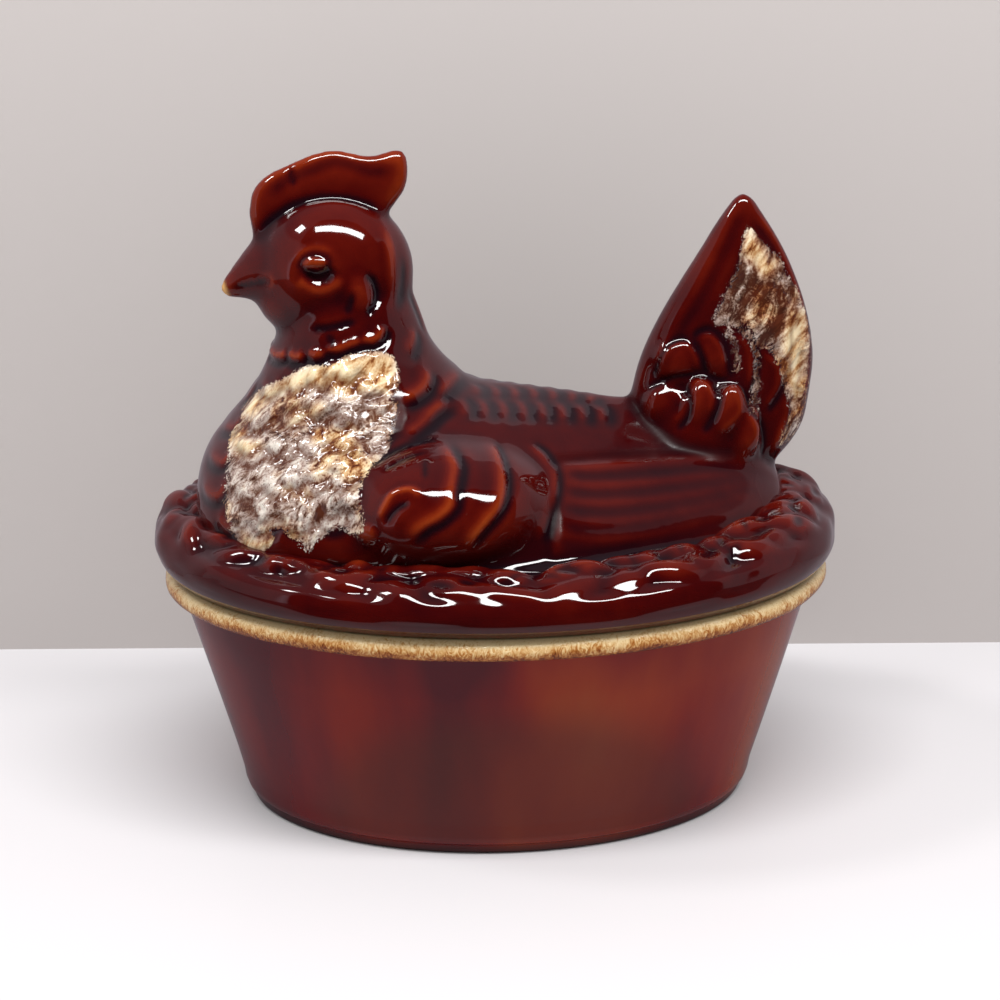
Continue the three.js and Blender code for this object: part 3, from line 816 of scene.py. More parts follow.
skin.groove([(401, 250), (404, 268), (403, 286), (401, 300), (395, 318)], 4, 0.5, 0.35)
skin.groove([(290, 165), (291, 172), (292.5, 180), (295, 187)], 1.5, 1.0, 0.3)
comb_foot = [(258, 232), (266, 224), (275, 217), (290, 207), (310, 199.5), (335, 197), (360, 202)]
comb_foot += [(380, 211)]
skin.groove(comb_foot, 2.2, 0.9, 0.1)
comb_inner = [(268, 204), (271, 194), (282, 183), (296, 176), (312, 170), (332, 162), (350, 164)]
comb_inner += [(371, 171), (386, 170), (396, 163)]
skin.groove(comb_inner, 5, 0.55, 0.15, 0.35)
# Glaze runs thin on the comb, which stands high
comb_patch = [*comb_foot, (392, 206), (404, 190), (408, 166), (398, 148), (372, 140), (320, 140)]
comb_patch += [(280, 155), (250, 185), (244, 220)]
thin = smoothstep(0, 8, inside(comb_patch, *near_pixels(skin.start)))
skin.rust = np.maximum(skin.rust, 0.4 * thin * (skin.start[:, 2] > 235))
print("face lines", skin.lines)

# %% Carve the collar and the neck feathers
collar = [
    [(268, 351), (273, 359), (281, 361), (287, 357)],
    [(287, 357), (293, 362), (301, 361), (306, 356)],
    [(306, 356), (312, 360), (321, 359), (327, 353)],
    [(327, 353), (338, 354), (350, 350), (362, 345)],
    [(362, 345), (374, 345), (383, 339), (387, 330)],
]
for scallop in collar:
    skin.feather(scallop, 1.2, 1.2, 6, 1.5, True, 0.05)
skin.groove([(326, 334), (332, 342), (333, 350)], 1.8, 0.9, 0.2)
neck_feathers = [
    ([(398, 403), (408, 403), (420, 398), (429, 390), (433, 379), (432, 366)], 0.8, 0.8),
    ([(404, 440), (412, 437), (426, 428), (440, 414), (455, 404)], 0.8, 0.8),
    ([(407, 358), (413, 352), (417, 342), (417, 328)], 0.5, 0.5),
    ([(408, 285), (413, 300), (420, 318), (426, 336)], 0.4, 0.5),
    ([(436, 398), (448, 392), (458, 382), (464, 370)], 0.4, 0.4),
]
for line, lip, depth in neck_feathers:
    skin.feather(line, lip, depth, 9, 2.4, True, 0.25)
print("neck lines", skin.lines)

# %% Carve the breast
# Rows of scallops: pixel of the left end, how far each one reaches across and down, how many
# there are, and how far the row climbs from one to the next
breast_rows = [
    (232, 388, 26, 13, 5, -5), (216, 418, 30, 15, 6, -4), (206, 452, 31, 16, 6, -4),
    (200, 486, 32, 16, 5, -3), (214, 518, 34, 15, 4, -1),
]
for x, y, step, sag, count, climb in breast_rows:
    for k in range(count):
        left, top = x + step * k, y + climb * k
        scallop = [
            (left, top), (left + step * 0.25, top + sag * 0.8),
            (left + step * 0.6, top + sag + climb * 0.5), (left + step, top + climb),
        ]
        skin.feather(scallop, 0.5, 0.5, 8, 2.1, True, 0.2)
# Edges of the lobes in which the white glaze lies over the feathers
lobe_edges = [
    [(240, 433), (252, 432), (266, 421), (284, 411), (303, 406), (320, 402)],
    [(233, 440), (246, 452), (262, 446), (276, 452), (292, 444)],
    [(326, 366), (328, 380), (326, 394), (322, 404)],
    [(352, 380), (362, 392), (374, 396), (386, 390)],
    [(300, 410), (318, 420), (334, 414), (346, 424), (362, 418)],
    [(276, 478), (292, 486), (306, 478), (322, 484)],
    [(250, 500), (262, 520), (276, 512), (290, 524)],
    [(318, 500), (330, 516), (344, 506), (356, 518)],
]
for line in lobe_edges:
    skin.feather(line, 0.9, 1.0, 8, 1.8, True, 0.15)
# Blisters of thick glaze that catch the lamps: pixel, half sizes, height and lean
blisters = [
    (345, 501, (6.5, 5), 2.9, 20), (337, 462, (5.5, 4), 2.2, -20), (354, 449, (6, 4), 2.2, 10),
    (343, 421, (5.5, 3.8), 2.0, 0), (368, 533, (5, 4), 1.8, 20), (322, 405, (5, 4), 1.6, 0),
]
for x, y, radii, height, lean_over in blisters:
    skin.dome(x, y, radii, height, lean_over)
print("breast lines", skin.lines)

# %% Raise and carve the wing
# The folded wing behind the shoulder stands a little out of her side
wing_patch = [
    (500, 462), (558, 462), (600, 457), (640, 454), (682, 451), (720, 452), (752, 457), (776, 466),
    (789, 480), (791, 493), (783, 512), (750, 533), (720, 540), (682, 545), (640, 550), (600, 556),
    (556, 560), (500, 550),
]
px, py = near_pixels(skin.start)
behind_shoulder = smoothstep(548, 556, px)
skin.lift += 1.5 * smoothstep(-3, 13, inside(wing_patch, px, py)) * behind_shoulder
shoulder_feathers = [
    [
        (446, 438), (453, 450), (461, 466), (459, 482), (457, 494), (456, 508), (442, 522),
        (426, 531), (408, 547),
    ],
    [
        (492, 438), (500, 452), (507, 474), (507, 494), (502, 510), (490, 525), (478, 539),
        (468, 553),
    ],
    [(528, 440), (546, 454), (555, 472), (556, 490), (552, 510), (548, 528), (540, 545)],
]
for line, depth in zip(shoulder_feathers, (0.95, 0.95, 0.55)):
    skin.feather(line, depth * 0.75, depth, 9, 1.7, False, 0.15)
skin.groove([(426, 456), (425, 468), (426, 481)], 1.8, 0.5, 0.3)
shoulder_ridge = [(378, 520), (384, 507), (392, 495), (404, 490), (415, 491), (422, 499)]
skin.groove(shoulder_ridge, 2.4, -1.1, 0.15)
skin.groove([(384, 524), (391, 514), (398, 507), (410, 502)], 2.2, 1.1, 0.2)
skin.groove([(378, 474), (392, 465), (412, 456), (432, 450)], 2.6, 0.5, 0.3)
quills = [
    [(558, 473), (600, 474), (650, 471), (700, 467), (745, 466), (778, 475)],
    [(556, 490), (600, 492), (650, 489), (700, 483), (745, 477), (784, 481)],
    [(557, 507), (600, 510), (650, 506), (700, 498), (745, 488), (788, 487)],
    [(553, 524), (600, 528), (650, 523), (700, 512), (745, 500), (788, 493)],
    [(548, 540), (600, 544), (650, 538), (700, 526), (745, 513), (784, 503)],
]
for line in quills:
    skin.feather(line, 0.26, 0.36, 8, 3.2, True, 0.1, 0.45)
skin.groove([(368, 468), (384, 456), (402, 447), (420, 441), (440, 438)], 3.2, 1.2)
print("wing lines", skin.lines)

# %% Carve the back
# Rows of feather tips: height of the row, half size, first pixel, step, and how many
back_rows = [(408, 13, 466, 19.5, 8), (390, 8, 478, 19, 7)]
for top, half, first, step, count in back_rows:
    for k in range(count):
        x = first + step * k
        y = top + (x - 466) * 0.045
        line = [(x - 5, y - half), (x + 3, y - half * 0.3)]
        line += [(x + 4, y + half * 0.4), (x - 2, y + half)]
        skin.feather(line, 0.3, 0.28, 7, 2.8, False, 0.35)
print("back lines", skin.lines)

# %% Carve the tail
tail_rim = [(738, 208), (730, 230), (715, 262), (699, 294), (682, 322), (667, 350), (655, 376)]
skin.feather(tail_rim, 0.25, 0.6, 5, 2.4, False, 0.08, 0.1)
rear_rim = [(752, 214), (771, 240), (787, 272), (799, 308), (804, 350), (801, 390), (792, 425)]
skin.feather(rear_rim, 0.5, 0.6, 6, 2.2, True, 0.1, 0.5)
tail_barbs = [
    [(747, 240), (739, 268), (728, 296), (718, 318)],
    [(757, 250), (752, 280), (741, 312), (736, 324)],
    [(768, 266), (765, 294), (758, 322), (757, 340)],
    [(779, 282), (780, 312), (777, 340), (781, 360)],
    [(790, 305), (792, 338), (790, 370), (792, 395)],
]
for line in tail_barbs:
    skin.groove(line, 2.6, 0.45, 0.3)
lobe_grooves = [
    [(653, 379), (656, 367), (662, 354), (668, 344), (676, 339), (684, 338.5), (692, 342)],
    [(691, 340), (697, 347), (702, 357), (705, 368), (708, 376)],
    [
        (692, 340), (698, 332), (709, 329), (718, 334), (726, 345), (729, 358), (731, 371),
        (731, 380),
    ],
    [(646, 390), (656, 383), (670, 378), (685, 375.5), (701, 374), (716, 379), (731, 381)],
    [
        (732, 331), (740, 329), (748, 334), (755, 345), (758, 357), (758, 368), (755, 382),
        (753, 396),
    ],
    [
        (764, 349), (773, 351), (781, 359), (785.5, 368), (786, 379), (782, 391), (775, 402),
        (766, 414),
    ],
    [(683, 386), (689, 396), (690, 408), (686, 420), (677, 430)],
    [(714, 384), (719, 395), (717, 409), (711, 422), (703, 433)],
    [(741, 388), (748, 400), (752, 411), (760, 421), (764, 434), (764, 446), (760, 459)],
]
for line in lobe_grooves:
    skin.groove(line, 2.3, 1.05, 0.1)
lobe_rims = [
    [(657, 371), (663, 356), (672, 346), (683, 343), (692, 350), (697, 362), (698, 370)],
    [(698, 338), (708, 335), (716, 341), (722, 352), (724, 368)],
    [(736, 335), (744, 341), (749, 352), (751, 368), (748, 386)],
    [(763, 354), (771, 359), (778, 369), (778, 383), (772, 396), (764, 409)],
    [(668, 389), (678, 395), (683, 404), (680, 414), (672, 421)],
    [(690, 384), (700, 382), (709, 388), (712, 400), (708, 414)],
    [(722, 391), (733, 390), (740, 401), (739, 413), (729, 424), (716, 434)],
    [(746, 412), (754, 422), (757, 434), (756, 447), (750, 457)],
    [(785, 398), (787, 410), (783, 424), (777, 440), (771, 455)],
]
for line in lobe_rims:
    skin.groove(line, 2.1, -0.55, 0.15, 0.6)
print("all lines", skin.lines)
skin.settle(3)

# %% [markdown]
# The lid is hollow: slip is poured into the mould, left to stiffen against it, and the rest
# tipped out. The hollow follows the outside one wall further in. It is built from the same
# masses, shrunk by the wall, and cut out of the hen.

# %% Hollow out the lid
def hollow_floor():
    form = bmesh.new()
    bmesh.ops.create_cone(form, cap_ends=True, segments=96, radius1=1, radius2=1, depth=1)
    p = corners(form)
    x, y, z = p[:, 0] * 106, p[:, 1] * 74, pool_z - 20.5 + p[:, 2] * 28
    return placed(form, x, y, z)


hollow_masses = [body(lid_wall, 64, 40), neck(lid_wall, 48, 32), hollow_floor()]
hollow_masses.append(pebble((head_x, 0, head_z - 2), (20, 15, 19)))
hollow = joined("hollow", hollow_masses)
remeshed(hollow, 3.2)
hollow_edges = read_edges(hollow.data)
write_places(hollow.data, relaxed(read_places(hollow.data), hollow_edges, 6))
store(hen.data, "pool", np.clip(relaxed(skin.pool, skin.edges, 1), 0, 1))
store(hen.data, "rust", np.clip(relaxed(skin.rust, skin.edges, 2), 0, 1))
cut = hen.modifiers.new("hollow", "BOOLEAN")
cut.operation = "DIFFERENCE"
cut.solver = "MANIFOLD"
cut.object = hollow
applied(hen)
bpy.data.objects.remove(hollow)
print("hollowed hen", len(hen.data.polygons), "faces")

# %% [markdown]
# The nest is a thick roll of clay straw round the hen, with the seat and the flange under
# it. It is spun like the dish. Straw is laid on it as overlapping lumps: where two meet, the
# higher one wins, which leaves the sharp valleys that the dark glaze fills.

# %% Model the nest
flange_depth = 9.5
flange_wall = 5
flange_gap = 1.5
flange_top = mouth - flange_gap
flange_low = flange_top - flange_depth * lean
belly_z = seat_z + nest_belly
crown = nest_rise - nest_belly


def nest_arc(start, end, steps, tall):
    angles = np.radians(np.linspace(start, end, steps + 1))
    return [(nest_crest + nest_tube * math.cos(a), belly_z + tall * math.sin(a)) for a in angles]


nest_inner = nest_crest - 27
nest_profile = [
    (flange_low - flange_wall, seat_z - flange_depth + 1),
    (flange_low - flange_wall + 1, seat_z - flange_depth), (flange_low - 1, seat_z - flange_depth),
    (flange_low, seat_z - flange_depth + 1),
    *along_line((flange_low, seat_z - flange_depth + 1), (flange_top, seat_z - 0.8), 8),
    (flange_top, seat_z - 0.8), (flange_top + 0.8, seat_z), (nest_crest + nest_tube * 0.5, seat_z),
    *nest_arc(-50, -4, 20, nest_belly * 1.3), *nest_arc(0, 150, 84, crown),
    *along_line((nest_crest - nest_tube * 0.87, pool_z), (nest_inner, pool_z), 16),
    (nest_inner, pool_z), (nest_inner, pool_z - 3), (flange_low - flange_wall - 6, pool_z - 3),
    (flange_low - flange_wall, seat_z + 6),
]
# How high the nest stands at shares of its length: low beside the hen, high at both ends
crest_heights = [
    (-1.0, 131.3), (-0.9, 128), (-0.77, 125.2), (-0.5, 123.4), (0.0, 123), (0.33, 124.2),
    (0.6, 126.6), (0.8, 129), (1.0, 131.3),
]


def nest_height(r, around, z):
    """The nest sinks beside the hen, and its inner side runs softly out into the pool."""
    squash = (curve(crest_heights, np.cos(around), 1) - seat_z) / nest_rise
    low = np.where(z > seat_z, seat_z + (z - seat_z) * squash, z)
    inward = (r < nest_crest) & (z >= pool_z - 0.01)
    share = np.clip((r - nest_crest) / nest_tube, -1, 1)
    tube = seat_z + (nest_belly + crown * np.sqrt(1 - share**2)) * squash
    soft = 1.8
    meniscus = pool_z + soft * np.log1p(np.exp((tube - pool_z) / soft))
    under = (r < nest_crest) & (z < pool_z - 0.01) & (z > seat_z)
    return np.where(inward, meniscus, np.where(under, z, low))


nest = joined("glazed_nest", [spun_oval(nest_profile, 640, nest_height)])
print("nest", len(nest.data.polygons), "faces")

# %% Lay straw on the nest
rng = np.random.default_rng(11)
places = read_places(nest.data)
normals = read_normals(nest.data)
edges = read_edges(nest.data)
crest_y = nest_crest - narrowing
angle = np.arctan2(places[:, 1] / crest_y, places[:, 0] / nest_crest)
ring = np.stack([np.cos(angle) * nest_crest, np.sin(angle) * crest_y], 1)
outward = np.hypot(places[:, 0], places[:, 1]) - np.hypot(ring[:, 0], ring[:, 1])
girth = 2 * math.pi * (nest_crest - narrowing / 2)
run = angle / (2 * math.pi) * girth
upward = normals[:, 2] > -0.1
on_nest = np.where(outward > 0, 1, smoothstep(0.3, 3, places[:, 2] - pool_z)) * upward
on_top = on_nest * (1 - smoothstep(12.5, 16.5, outward))


def laid(count, rows, lengths, widths, heights, slants, power):
    """Lumps laid round the nest; where two overlap, the higher one shows."""
    surface = np.zeros(len(places))
    for k in range(count):
        middle = (k + rng.uniform(-0.45, 0.45)) / count * girth - girth / 2
        level_at = rng.uniform(*rows)
        slant = math.radians(rng.uniform(*slants) * rng.choice([-1, 1]))
        half_length, half_width = rng.uniform(*lengths), rng.uniform(*widths)
        height = rng.uniform(*heights)
        dx = (run - middle + girth / 2) % girth - girth / 2
        dy = outward - level_at
        a = (dx * math.cos(slant) + dy * math.sin(slant)) / half_length
        b = (dy * math.cos(slant) - dx * math.sin(slant)) / half_width
        surface = np.maximum(surface, height * np.clip(1 - a * a - b * b, 0, 1) ** power)
    return surface


clods = laid(52, (-7, 0), (9, 14), (5.5, 9), (2.6, 5.0), (10, 60), 0.8)
clods = np.maximum(clods, laid(44, (4, 12), (10, 17), (5, 8), (2.0, 4.2), (5, 40), 0.8))
pits = laid(64, (0, 10), (3, 6.5), (1.8, 3.4), (0.9, 1.9), (0, 60), 0.9)
nicks = laid(90, (-8, 9), (3.5, 7), (0.9, 1.5), (0.8, 1.3), (40, 90), 0.8)
slow = 0.5 * np.sin(run / 10.5 + 1) + 0.4 * np.sin(run / 6.1 + outward / 7)
on_belly = smoothstep(8, 13, outward) * (1 - smoothstep(16.8, 17.6, outward)) * on_nest
waver = np.sin(run / 3.6 + 1.6 * np.sin(run / 17)) + 0.6 * np.sin(run / 8.3 + 2)
nicks *= 1 - smoothstep(6, 10, outward)
lift = (clods - 2.2 - nicks - pits) * on_top + slow * on_nest * 0.9
lift = relaxed(lift, edges, 10) + 0.24 * relaxed(waver * on_belly, edges, 12)
write_places(nest.data, places + normals * lift[:, None])
store(nest.data, "rust", np.clip(relaxed(clods, edges, 4) / 4.4, 0, 1) ** 1.5 * on_top)
store(nest.data, "pool", np.clip(relaxed(nicks + pits * 0.8, edges, 2), 0, 1) * on_top * 0.8)
print("clods", clods.max(), "nicks", nicks.max())


# %% [markdown]
# What the glaze sees. It runs off edges and gathers in hollows, so each skin stores how far
# it stands out from its own smoothed shape. Raised places turn to rust, hollows to near
# black. Two patches are dipped again in a foaming white glaze: the breast and the tail.

# %% Masks for the glaze
def relief(mesh, times, depth):
    """How far each vertex stands out from the smoothed skin, from -1 to 1."""
    places = read_places(mesh)
    edges = read_edges(mesh)
    smooth = relaxed(places, edges, times)
    gap = np.einsum("ij,ij->i", places - smooth, read_normals(mesh))
    return np.clip(gap / depth, -1, 1)


breast_patch = [
    (232, 440), (243, 415), (258, 395), (285, 381), (306, 371), (330, 372), (352, 357), (378, 354),
    (394, 366), (397, 385), (390, 398), (398, 408), (391, 432), (388, 450), (372, 465), (362, 480),
    (358, 505), (364, 530), (352, 534), (340, 526), (322, 536), (308, 550), (298, 540), (276, 528),
    (262, 548), (246, 547), (232, 530), (227, 505), (228, 470),
]
tail_patch = [
    (747, 228), (736, 265), (721, 297), (712.5, 317), (715.5, 326), (733, 329), (744.5, 327.5),
    (754.5, 337.5), (759, 352), (770.5, 346.5), (779, 355), (783.5, 369.5), (786.5, 392.5),
    (787, 412), (778, 446), (796, 438), (807, 408), (809.5, 375), (811, 352), (809.5, 329),
    (805, 306), (796.5, 285.5), (782, 259.5), (770.5, 248), (756, 233.5),
]
# Where the white glaze lies thick and cream
cream_patches = [
    [
        (240, 410), (262, 390), (290, 375), (316, 364), (345, 356), (390, 354), (396, 368),
        (396, 384), (386, 394), (368, 391), (350, 398), (330, 391), (310, 388), (290, 392),
        (270, 402), (252, 417),
    ],
    [(284, 426), (298, 412), (316, 403), (324, 406), (318, 415), (300, 425)],
    [(233, 436), (246, 440), (262, 444), (256, 452), (240, 456), (232, 446)],
    [(242, 532), (256, 540), (272, 536), (276, 546), (262, 551), (244, 548)],
    [
        (750, 226), (754.5, 235), (764.5, 248), (770.5, 259.5), (778, 254), (779, 262),
        (773.5, 274), (766, 279.5), (759, 274), (750, 262), (741.5, 254), (744.5, 239),
    ],
    [
        (794, 290), (798, 294), (794, 308), (805, 312), (808, 335), (805, 364), (799.5, 387),
        (794, 404), (791, 392), (789, 364), (782, 352), (783.5, 326), (789, 306),
    ],
]
# Thin lines of grey specks, in the grooves between the tail's short feathers
speckled_lines = [
    [(727, 331), (735, 346), (737, 370)],
    [(742, 330), (752, 341), (756.5, 362), (756, 390), (753, 412)],
    [(765, 343), (777, 354), (784, 370), (787, 390)],
]
places = read_places(hen.data)
normals = read_normals(hen.data)
px, py = near_pixels(places)
facing = smoothstep(0.02, 0.25, np.abs(normals[:, 1]) * 0.9 + np.maximum(-normals[:, 0], 0) * 0.4)
on_tail = smoothstep(-10, 10, places[:, 0])
foam = np.maximum(inside(breast_patch, px, py), inside(tail_patch, px, py))
for line in speckled_lines:
    foam = np.maximum(foam, inside(line, px, py, True) + 5)
cream = np.max([inside(patch, px, py) for patch in cream_patches], 0)
store(hen.data, "foam", np.clip(foam / 16 + 0.5, 0, 1) * facing)
store(hen.data, "cream", np.clip(cream / 12 + 0.5, 0, 1) * facing)
store(hen.data, "dense", 1 - 0.2 * on_tail)
# The glaze lies darker on the short feathers at the root of the tail, and on its front
calm = 1 - 0.35 * smoothstep(622, 650, px) * smoothstep(180, 200, py)
store(hen.data, "ridge", relief(hen.data, 14, 0.4) * calm)
store(hen.data, "swelling", relief(hen.data, 60, 1.3) * calm)
store(nest.data, "ridge", relief(nest.data, 8, 0.5))
store(nest.data, "swelling", relief(nest.data, 40, 1.4))
for name in ("foam", "cream", "dense", "dull"):
    store(nest.data, name, np.zeros(len(nest.data.vertices)))
beak_tip = 1 - smoothstep(2.5, 5, np.linalg.norm(places - np.array([-109.6, 0, 214.6]), axis=1))
store(hen.data, "worn", beak_tip)
# Creases where the glaze lies dull, so that no white line of light runs along them
dull_lines = [
    [(630, 400), (648, 424), (668, 439), (690, 449), (722, 457)],
    [(630, 430), (644, 434), (656, 440)], [(554, 500), (556, 518), (556, 536)],
    [(397, 402), (401, 414), (398, 426)],
    [(560, 458), (600, 456), (650, 454), (700, 453), (730, 455)],
    [(394, 548), (430, 556), (470, 556), (508, 551)],
]
dull = np.max([inside(line, px, py, True) for line in dull_lines], 0)
store(hen.data, "dull", smoothstep(-9, -2, dull))
store(hen.data, "sunk", 1 - smoothstep(0.5, 3.5, places[:, 2] - deck_z))
nest_places = read_places(nest.data)
low_inside = (outward < 0) * upward
store(nest.data, "sunk", low_inside * (1 - smoothstep(0.5, 3.2, nest_places[:, 2] - pool_z)))
store(nest.data, "worn", np.zeros(len(nest.data.vertices)))

# %% [markdown]
# Glaze. A clear brown glaze over dark stoneware: deep maroon where it lies even, rust where
# it thins over an edge, blue black where it pools. The body colours change slowly over a
# hand's width as well. All of it sits under one smooth glassy surface, so roughness stays
# near zero and colour does the work. Noise reads object coordinates, in metres.

# %% Helpers for shader nodes
def colour(red, green, blue):
    """A colour written as on a screen, as the linear colour that the shader wants."""
    shares = [c / 255 for c in (red, green, blue)]
    return [((c + 0.055) / 1.055) ** 2.4 if c > 0.04 else c / 12.92 for c in shares] + [1]


class Wiring:
    """The nodes of one tree. Each helper adds a node and gives its output."""

    def __init__(self, tree):
        self.nodes, self.links = tree.nodes, tree.links

    def feed(self, socket, value):
        """Link a socket to another node's output, or give it a plain value."""
        if isinstance(value, bpy.types.NodeSocket):
            self.links.new(value, socket)
        else:
            socket.default_value = value

    def add(self, kind, inputs, output=0, **settings):
        node = self.nodes.new("ShaderNode" + kind)
        for name, value in settings.items():
            setattr(node, name, value)
        for name, value in inputs.items():
            self.feed(node.inputs[name], value)
        return node.outputs[output]

    def noise(self, place, scale, detail=3, rough=0.5, distort=0):
        values = {"Vector": place, "Scale": scale, "Detail": detail}
        return self.add("TexNoise", {**values, "Roughness": rough, "Distortion": distort}, "Fac")

    def maths(self, operation, a, b=0.0, c=0.0, clamp=False):
        return self.add("Math", {0: a, 1: b, 2: c}, operation=operation, use_clamp=clamp)

    def minus(self, a, b):
        return self.maths("SUBTRACT", a, b)

    def times(self, a, b):
        return self.maths("MULTIPLY", a, b)

    def scaled(self, value, factor, offset, clamp=False):
        return self.maths("MULTIPLY_ADD", value, factor, offset, clamp)

    def varied(self, value, pattern, amount):
        """A value with a pattern around one half added, as much up as down."""
        return self.minus(self.scaled(pattern, amount, value), amount / 2)

    def blended(self, share, a, b):
        return self.add("Mix", {0: share, 6: a, 7: b}, 2, data_type="RGBA", blend_type="MIX")

    def ramp(self, value, stops):
        """A colour ramp; each stop is a position and a colour as on a screen."""
        node = self.nodes.new("ShaderNodeValToRGB")
        elements = node.color_ramp.elements
        while len(elements) < len(stops):
            elements.new(0.5)
        for element, (at, *tint) in zip(elements, stops):
            element.position, element.color = at, colour(*tint)
        self.links.new(value, node.inputs[0])
        return node.outputs[0]

    def fade(self, value, low, high):
        """From 0 below the low value to 1 above the high one, or the other way round."""
        first, last = (0, 255) if low < high else (255, 0)
        low, high = sorted((low, high))
        return self.ramp(value, [(low, first, first, first), (high, last, last, last)])

    def stretched(self, place, scale):
        return self.add("Mapping", {"Vector": place, "Scale": scale})

    def attribute(self, name):
        return self.add("Attribute", {}, "Fac", attribute_name=name)

    def bump(self, height, strength, distance):
        return self.add("Bump", {"Height": height, "Strength": strength, "Distance": distance})

    def group(self, group, **inputs):
        node = self.nodes.new("ShaderNodeGroup")
        node.node_tree = group
        for name, value in inputs.items():
            self.feed(node.inputs[name], value)
        return node.outputs


def new_group(name, inputs, outputs):
    """A node group that reads a place and some values, and gives a colour and others."""
    group = bpy.data.node_groups.new(name, "ShaderNodeTree")
    sockets = [("Place", "INPUT", "Vector"), *((label, "INPUT", "Float") for label in inputs)]
    sockets += [("Color", "OUTPUT", "Color"), *((label, "OUTPUT", "Float") for label in outputs)]
    for label, side, kind in sockets:
        group.interface.new_socket(label, in_out=side, socket_type="NodeSocket" + kind)
    start, end = group.nodes.new("NodeGroupInput"), group.nodes.new("NodeGroupOutput")
    return group, Wiring(group), start.outputs, end.inputs


def new_material(name):
    """A material, the wiring of its tree, its surface's inputs, and the place to colour."""
    material = bpy.data.materials.new(name)
    material.use_nodes = True
    wires = Wiring(material.node_tree)
    surface = wires.nodes["Principled BSDF"].inputs
    return material, wires, surface, wires.add("TexCoord", {}, "Object")


# %% Brown glaze
brown_stops = [
    (0.0, 16, 3, 7), (0.2, 38, 3, 6), (0.36, 60, 5, 4), (0.5, 80, 14, 6), (0.64, 108, 32, 10),
    (0.8, 142, 60, 22), (1.0, 182, 104, 48),
]


def brown_glaze_group():
    labels = ("Ridge", "Swelling", "Rust", "Pool")
    group, wires, start, end = new_group("brown_glaze", labels, ())
    slow = wires.noise(start["Place"], 24, 2)
    fine = wires.noise(start["Place"], 150, 4, 0.6)
    edge = wires.scaled(start["Ridge"], 0.15, 0.30)
    edge = wires.scaled(start["Swelling"], 0.14, edge)
    edge = wires.scaled(start["Rust"], 0.15, edge)
    edge = wires.varied(wires.varied(edge, slow, 0.4), fine, 0.12)
    dark = wires.maths("MULTIPLY", start["Pool"], 0.9, clamp=True)
    tint = wires.blended(dark, wires.ramp(edge, brown_stops), colour(16, 6, 12))
    wires.links.new(tint, end["Color"])
    return group


brown_glaze = brown_glaze_group()
print("brown glaze", len(brown_glaze.nodes), "nodes")

# %% [markdown]
# The foam: a second, white glaze that boils and breaks over the brown. It is streaked along
# the feathers, cream where it is thick, tan and grey where the brown comes through, with a
# lacy edge.

# %% Foam glaze
warm_stops = [
    (0.12, 70, 26, 11), (0.28, 122, 70, 36), (0.42, 168, 124, 80), (0.58, 200, 166, 124),
    (0.84, 226, 206, 168),
]
cool_stops = [
    (0.12, 58, 30, 23), (0.26, 108, 82, 68), (0.4, 152, 131, 121), (0.56, 184, 168, 158),
    (0.78, 212, 203, 192),
]


def foam_group():
    labels = ("Mask", "Cream", "Dense", "Ridge", "Pool")
    group, wires, start, end = new_group("foam_glaze", labels, ("Cover", "Height"))
    place, cream, dense = start["Place"], start["Cream"], start["Dense"]
    # The streaks lean with the feathers: 42 degrees on the breast, 30 on the tail
    steep = wires.scaled(dense, math.radians(-60), math.radians(18))
    leaning = {"Vector": place, "Angle": steep}
    leaning = wires.add("VectorRotate", leaning, rotation_type="Y_AXIS")
    streaky = wires.stretched(leaning, (1.0, 0.6, 0.25))
    curly = wires.stretched(leaning, (1.0, 0.8, 0.6))
    grains = wires.noise(place, 1300, 3, 0.7)
    hue = wires.noise(place, 48, 3, 0.55, 0.3)
    clouds = wires.noise(curly, 85, 3, 0.55, 2.0)
    swirls = wires.noise(curly, 120, 1.5, 0.5, 1.2)
    # Straight streaks where it is thick and cream, curls elsewhere
    straight = wires.minus(wires.noise(streaky, 330, 4, 0.6, 0.6), 0.5)
    curls = wires.minus(wires.noise(curly, 230, 5, 0.66, 2.2), 0.5)
    streaks = wires.scaled(cream, wires.minus(straight, curls), curls)
    streaks = wires.maths("ADD", streaks, 0.5)
    thick = wires.scaled(streaks, 1.7, -0.44)
    thick = wires.varied(wires.varied(thick, clouds, 1.5), grains, 0.55)
    thick = wires.scaled(start["Ridge"], 0.1, thick)
    thick = wires.scaled(cream, wires.scaled(dense, -1.2, 1.37), thick)
    thick = wires.minus(wires.scaled(dense, 1.3, thick), 1.3)
    gold = wires.maths("MAXIMUM", wires.fade(hue, 0.5, 0.66), cream)
    tint = wires.blended(gold, wires.ramp(thick, cool_stops), wires.ramp(thick, warm_stops))
    specks = wires.fade(grains, 0.42, 0.34)
    specks = wires.times(specks, wires.minus(1, cream))
    tint = wires.blended(wires.times(specks, 0.8), tint, colour(58, 34, 26))
    sunk = wires.times(start["Pool"], 0.7)
    tint = wires.blended(sunk, tint, colour(78, 38, 22))
    # The lacy edge: the mask is eaten into by streaks and grains
    ragged = wires.scaled(streaks, 1.3, start["Mask"])
    for value, factor in ((grains, 0.9), (dense, 0.95), (cream, 0.45)):
        ragged = wires.scaled(value, factor, ragged)
    cover = wires.fade(wires.minus(ragged, 2.05), 0.44, 0.54)
    height = wires.scaled(thick, 0.03, wires.times(swirls, 6))
    for label, value in (("Color", tint), ("Cover", cover), ("Height", height)):
        wires.links.new(value, end[label])
    return group


foam_glaze = foam_group()
print("foam glaze", len(foam_glaze.nodes), "nodes")

# %% Glaze of the hen and her nest
glaze_roughness = 0.06
glaze_ior = 1.52


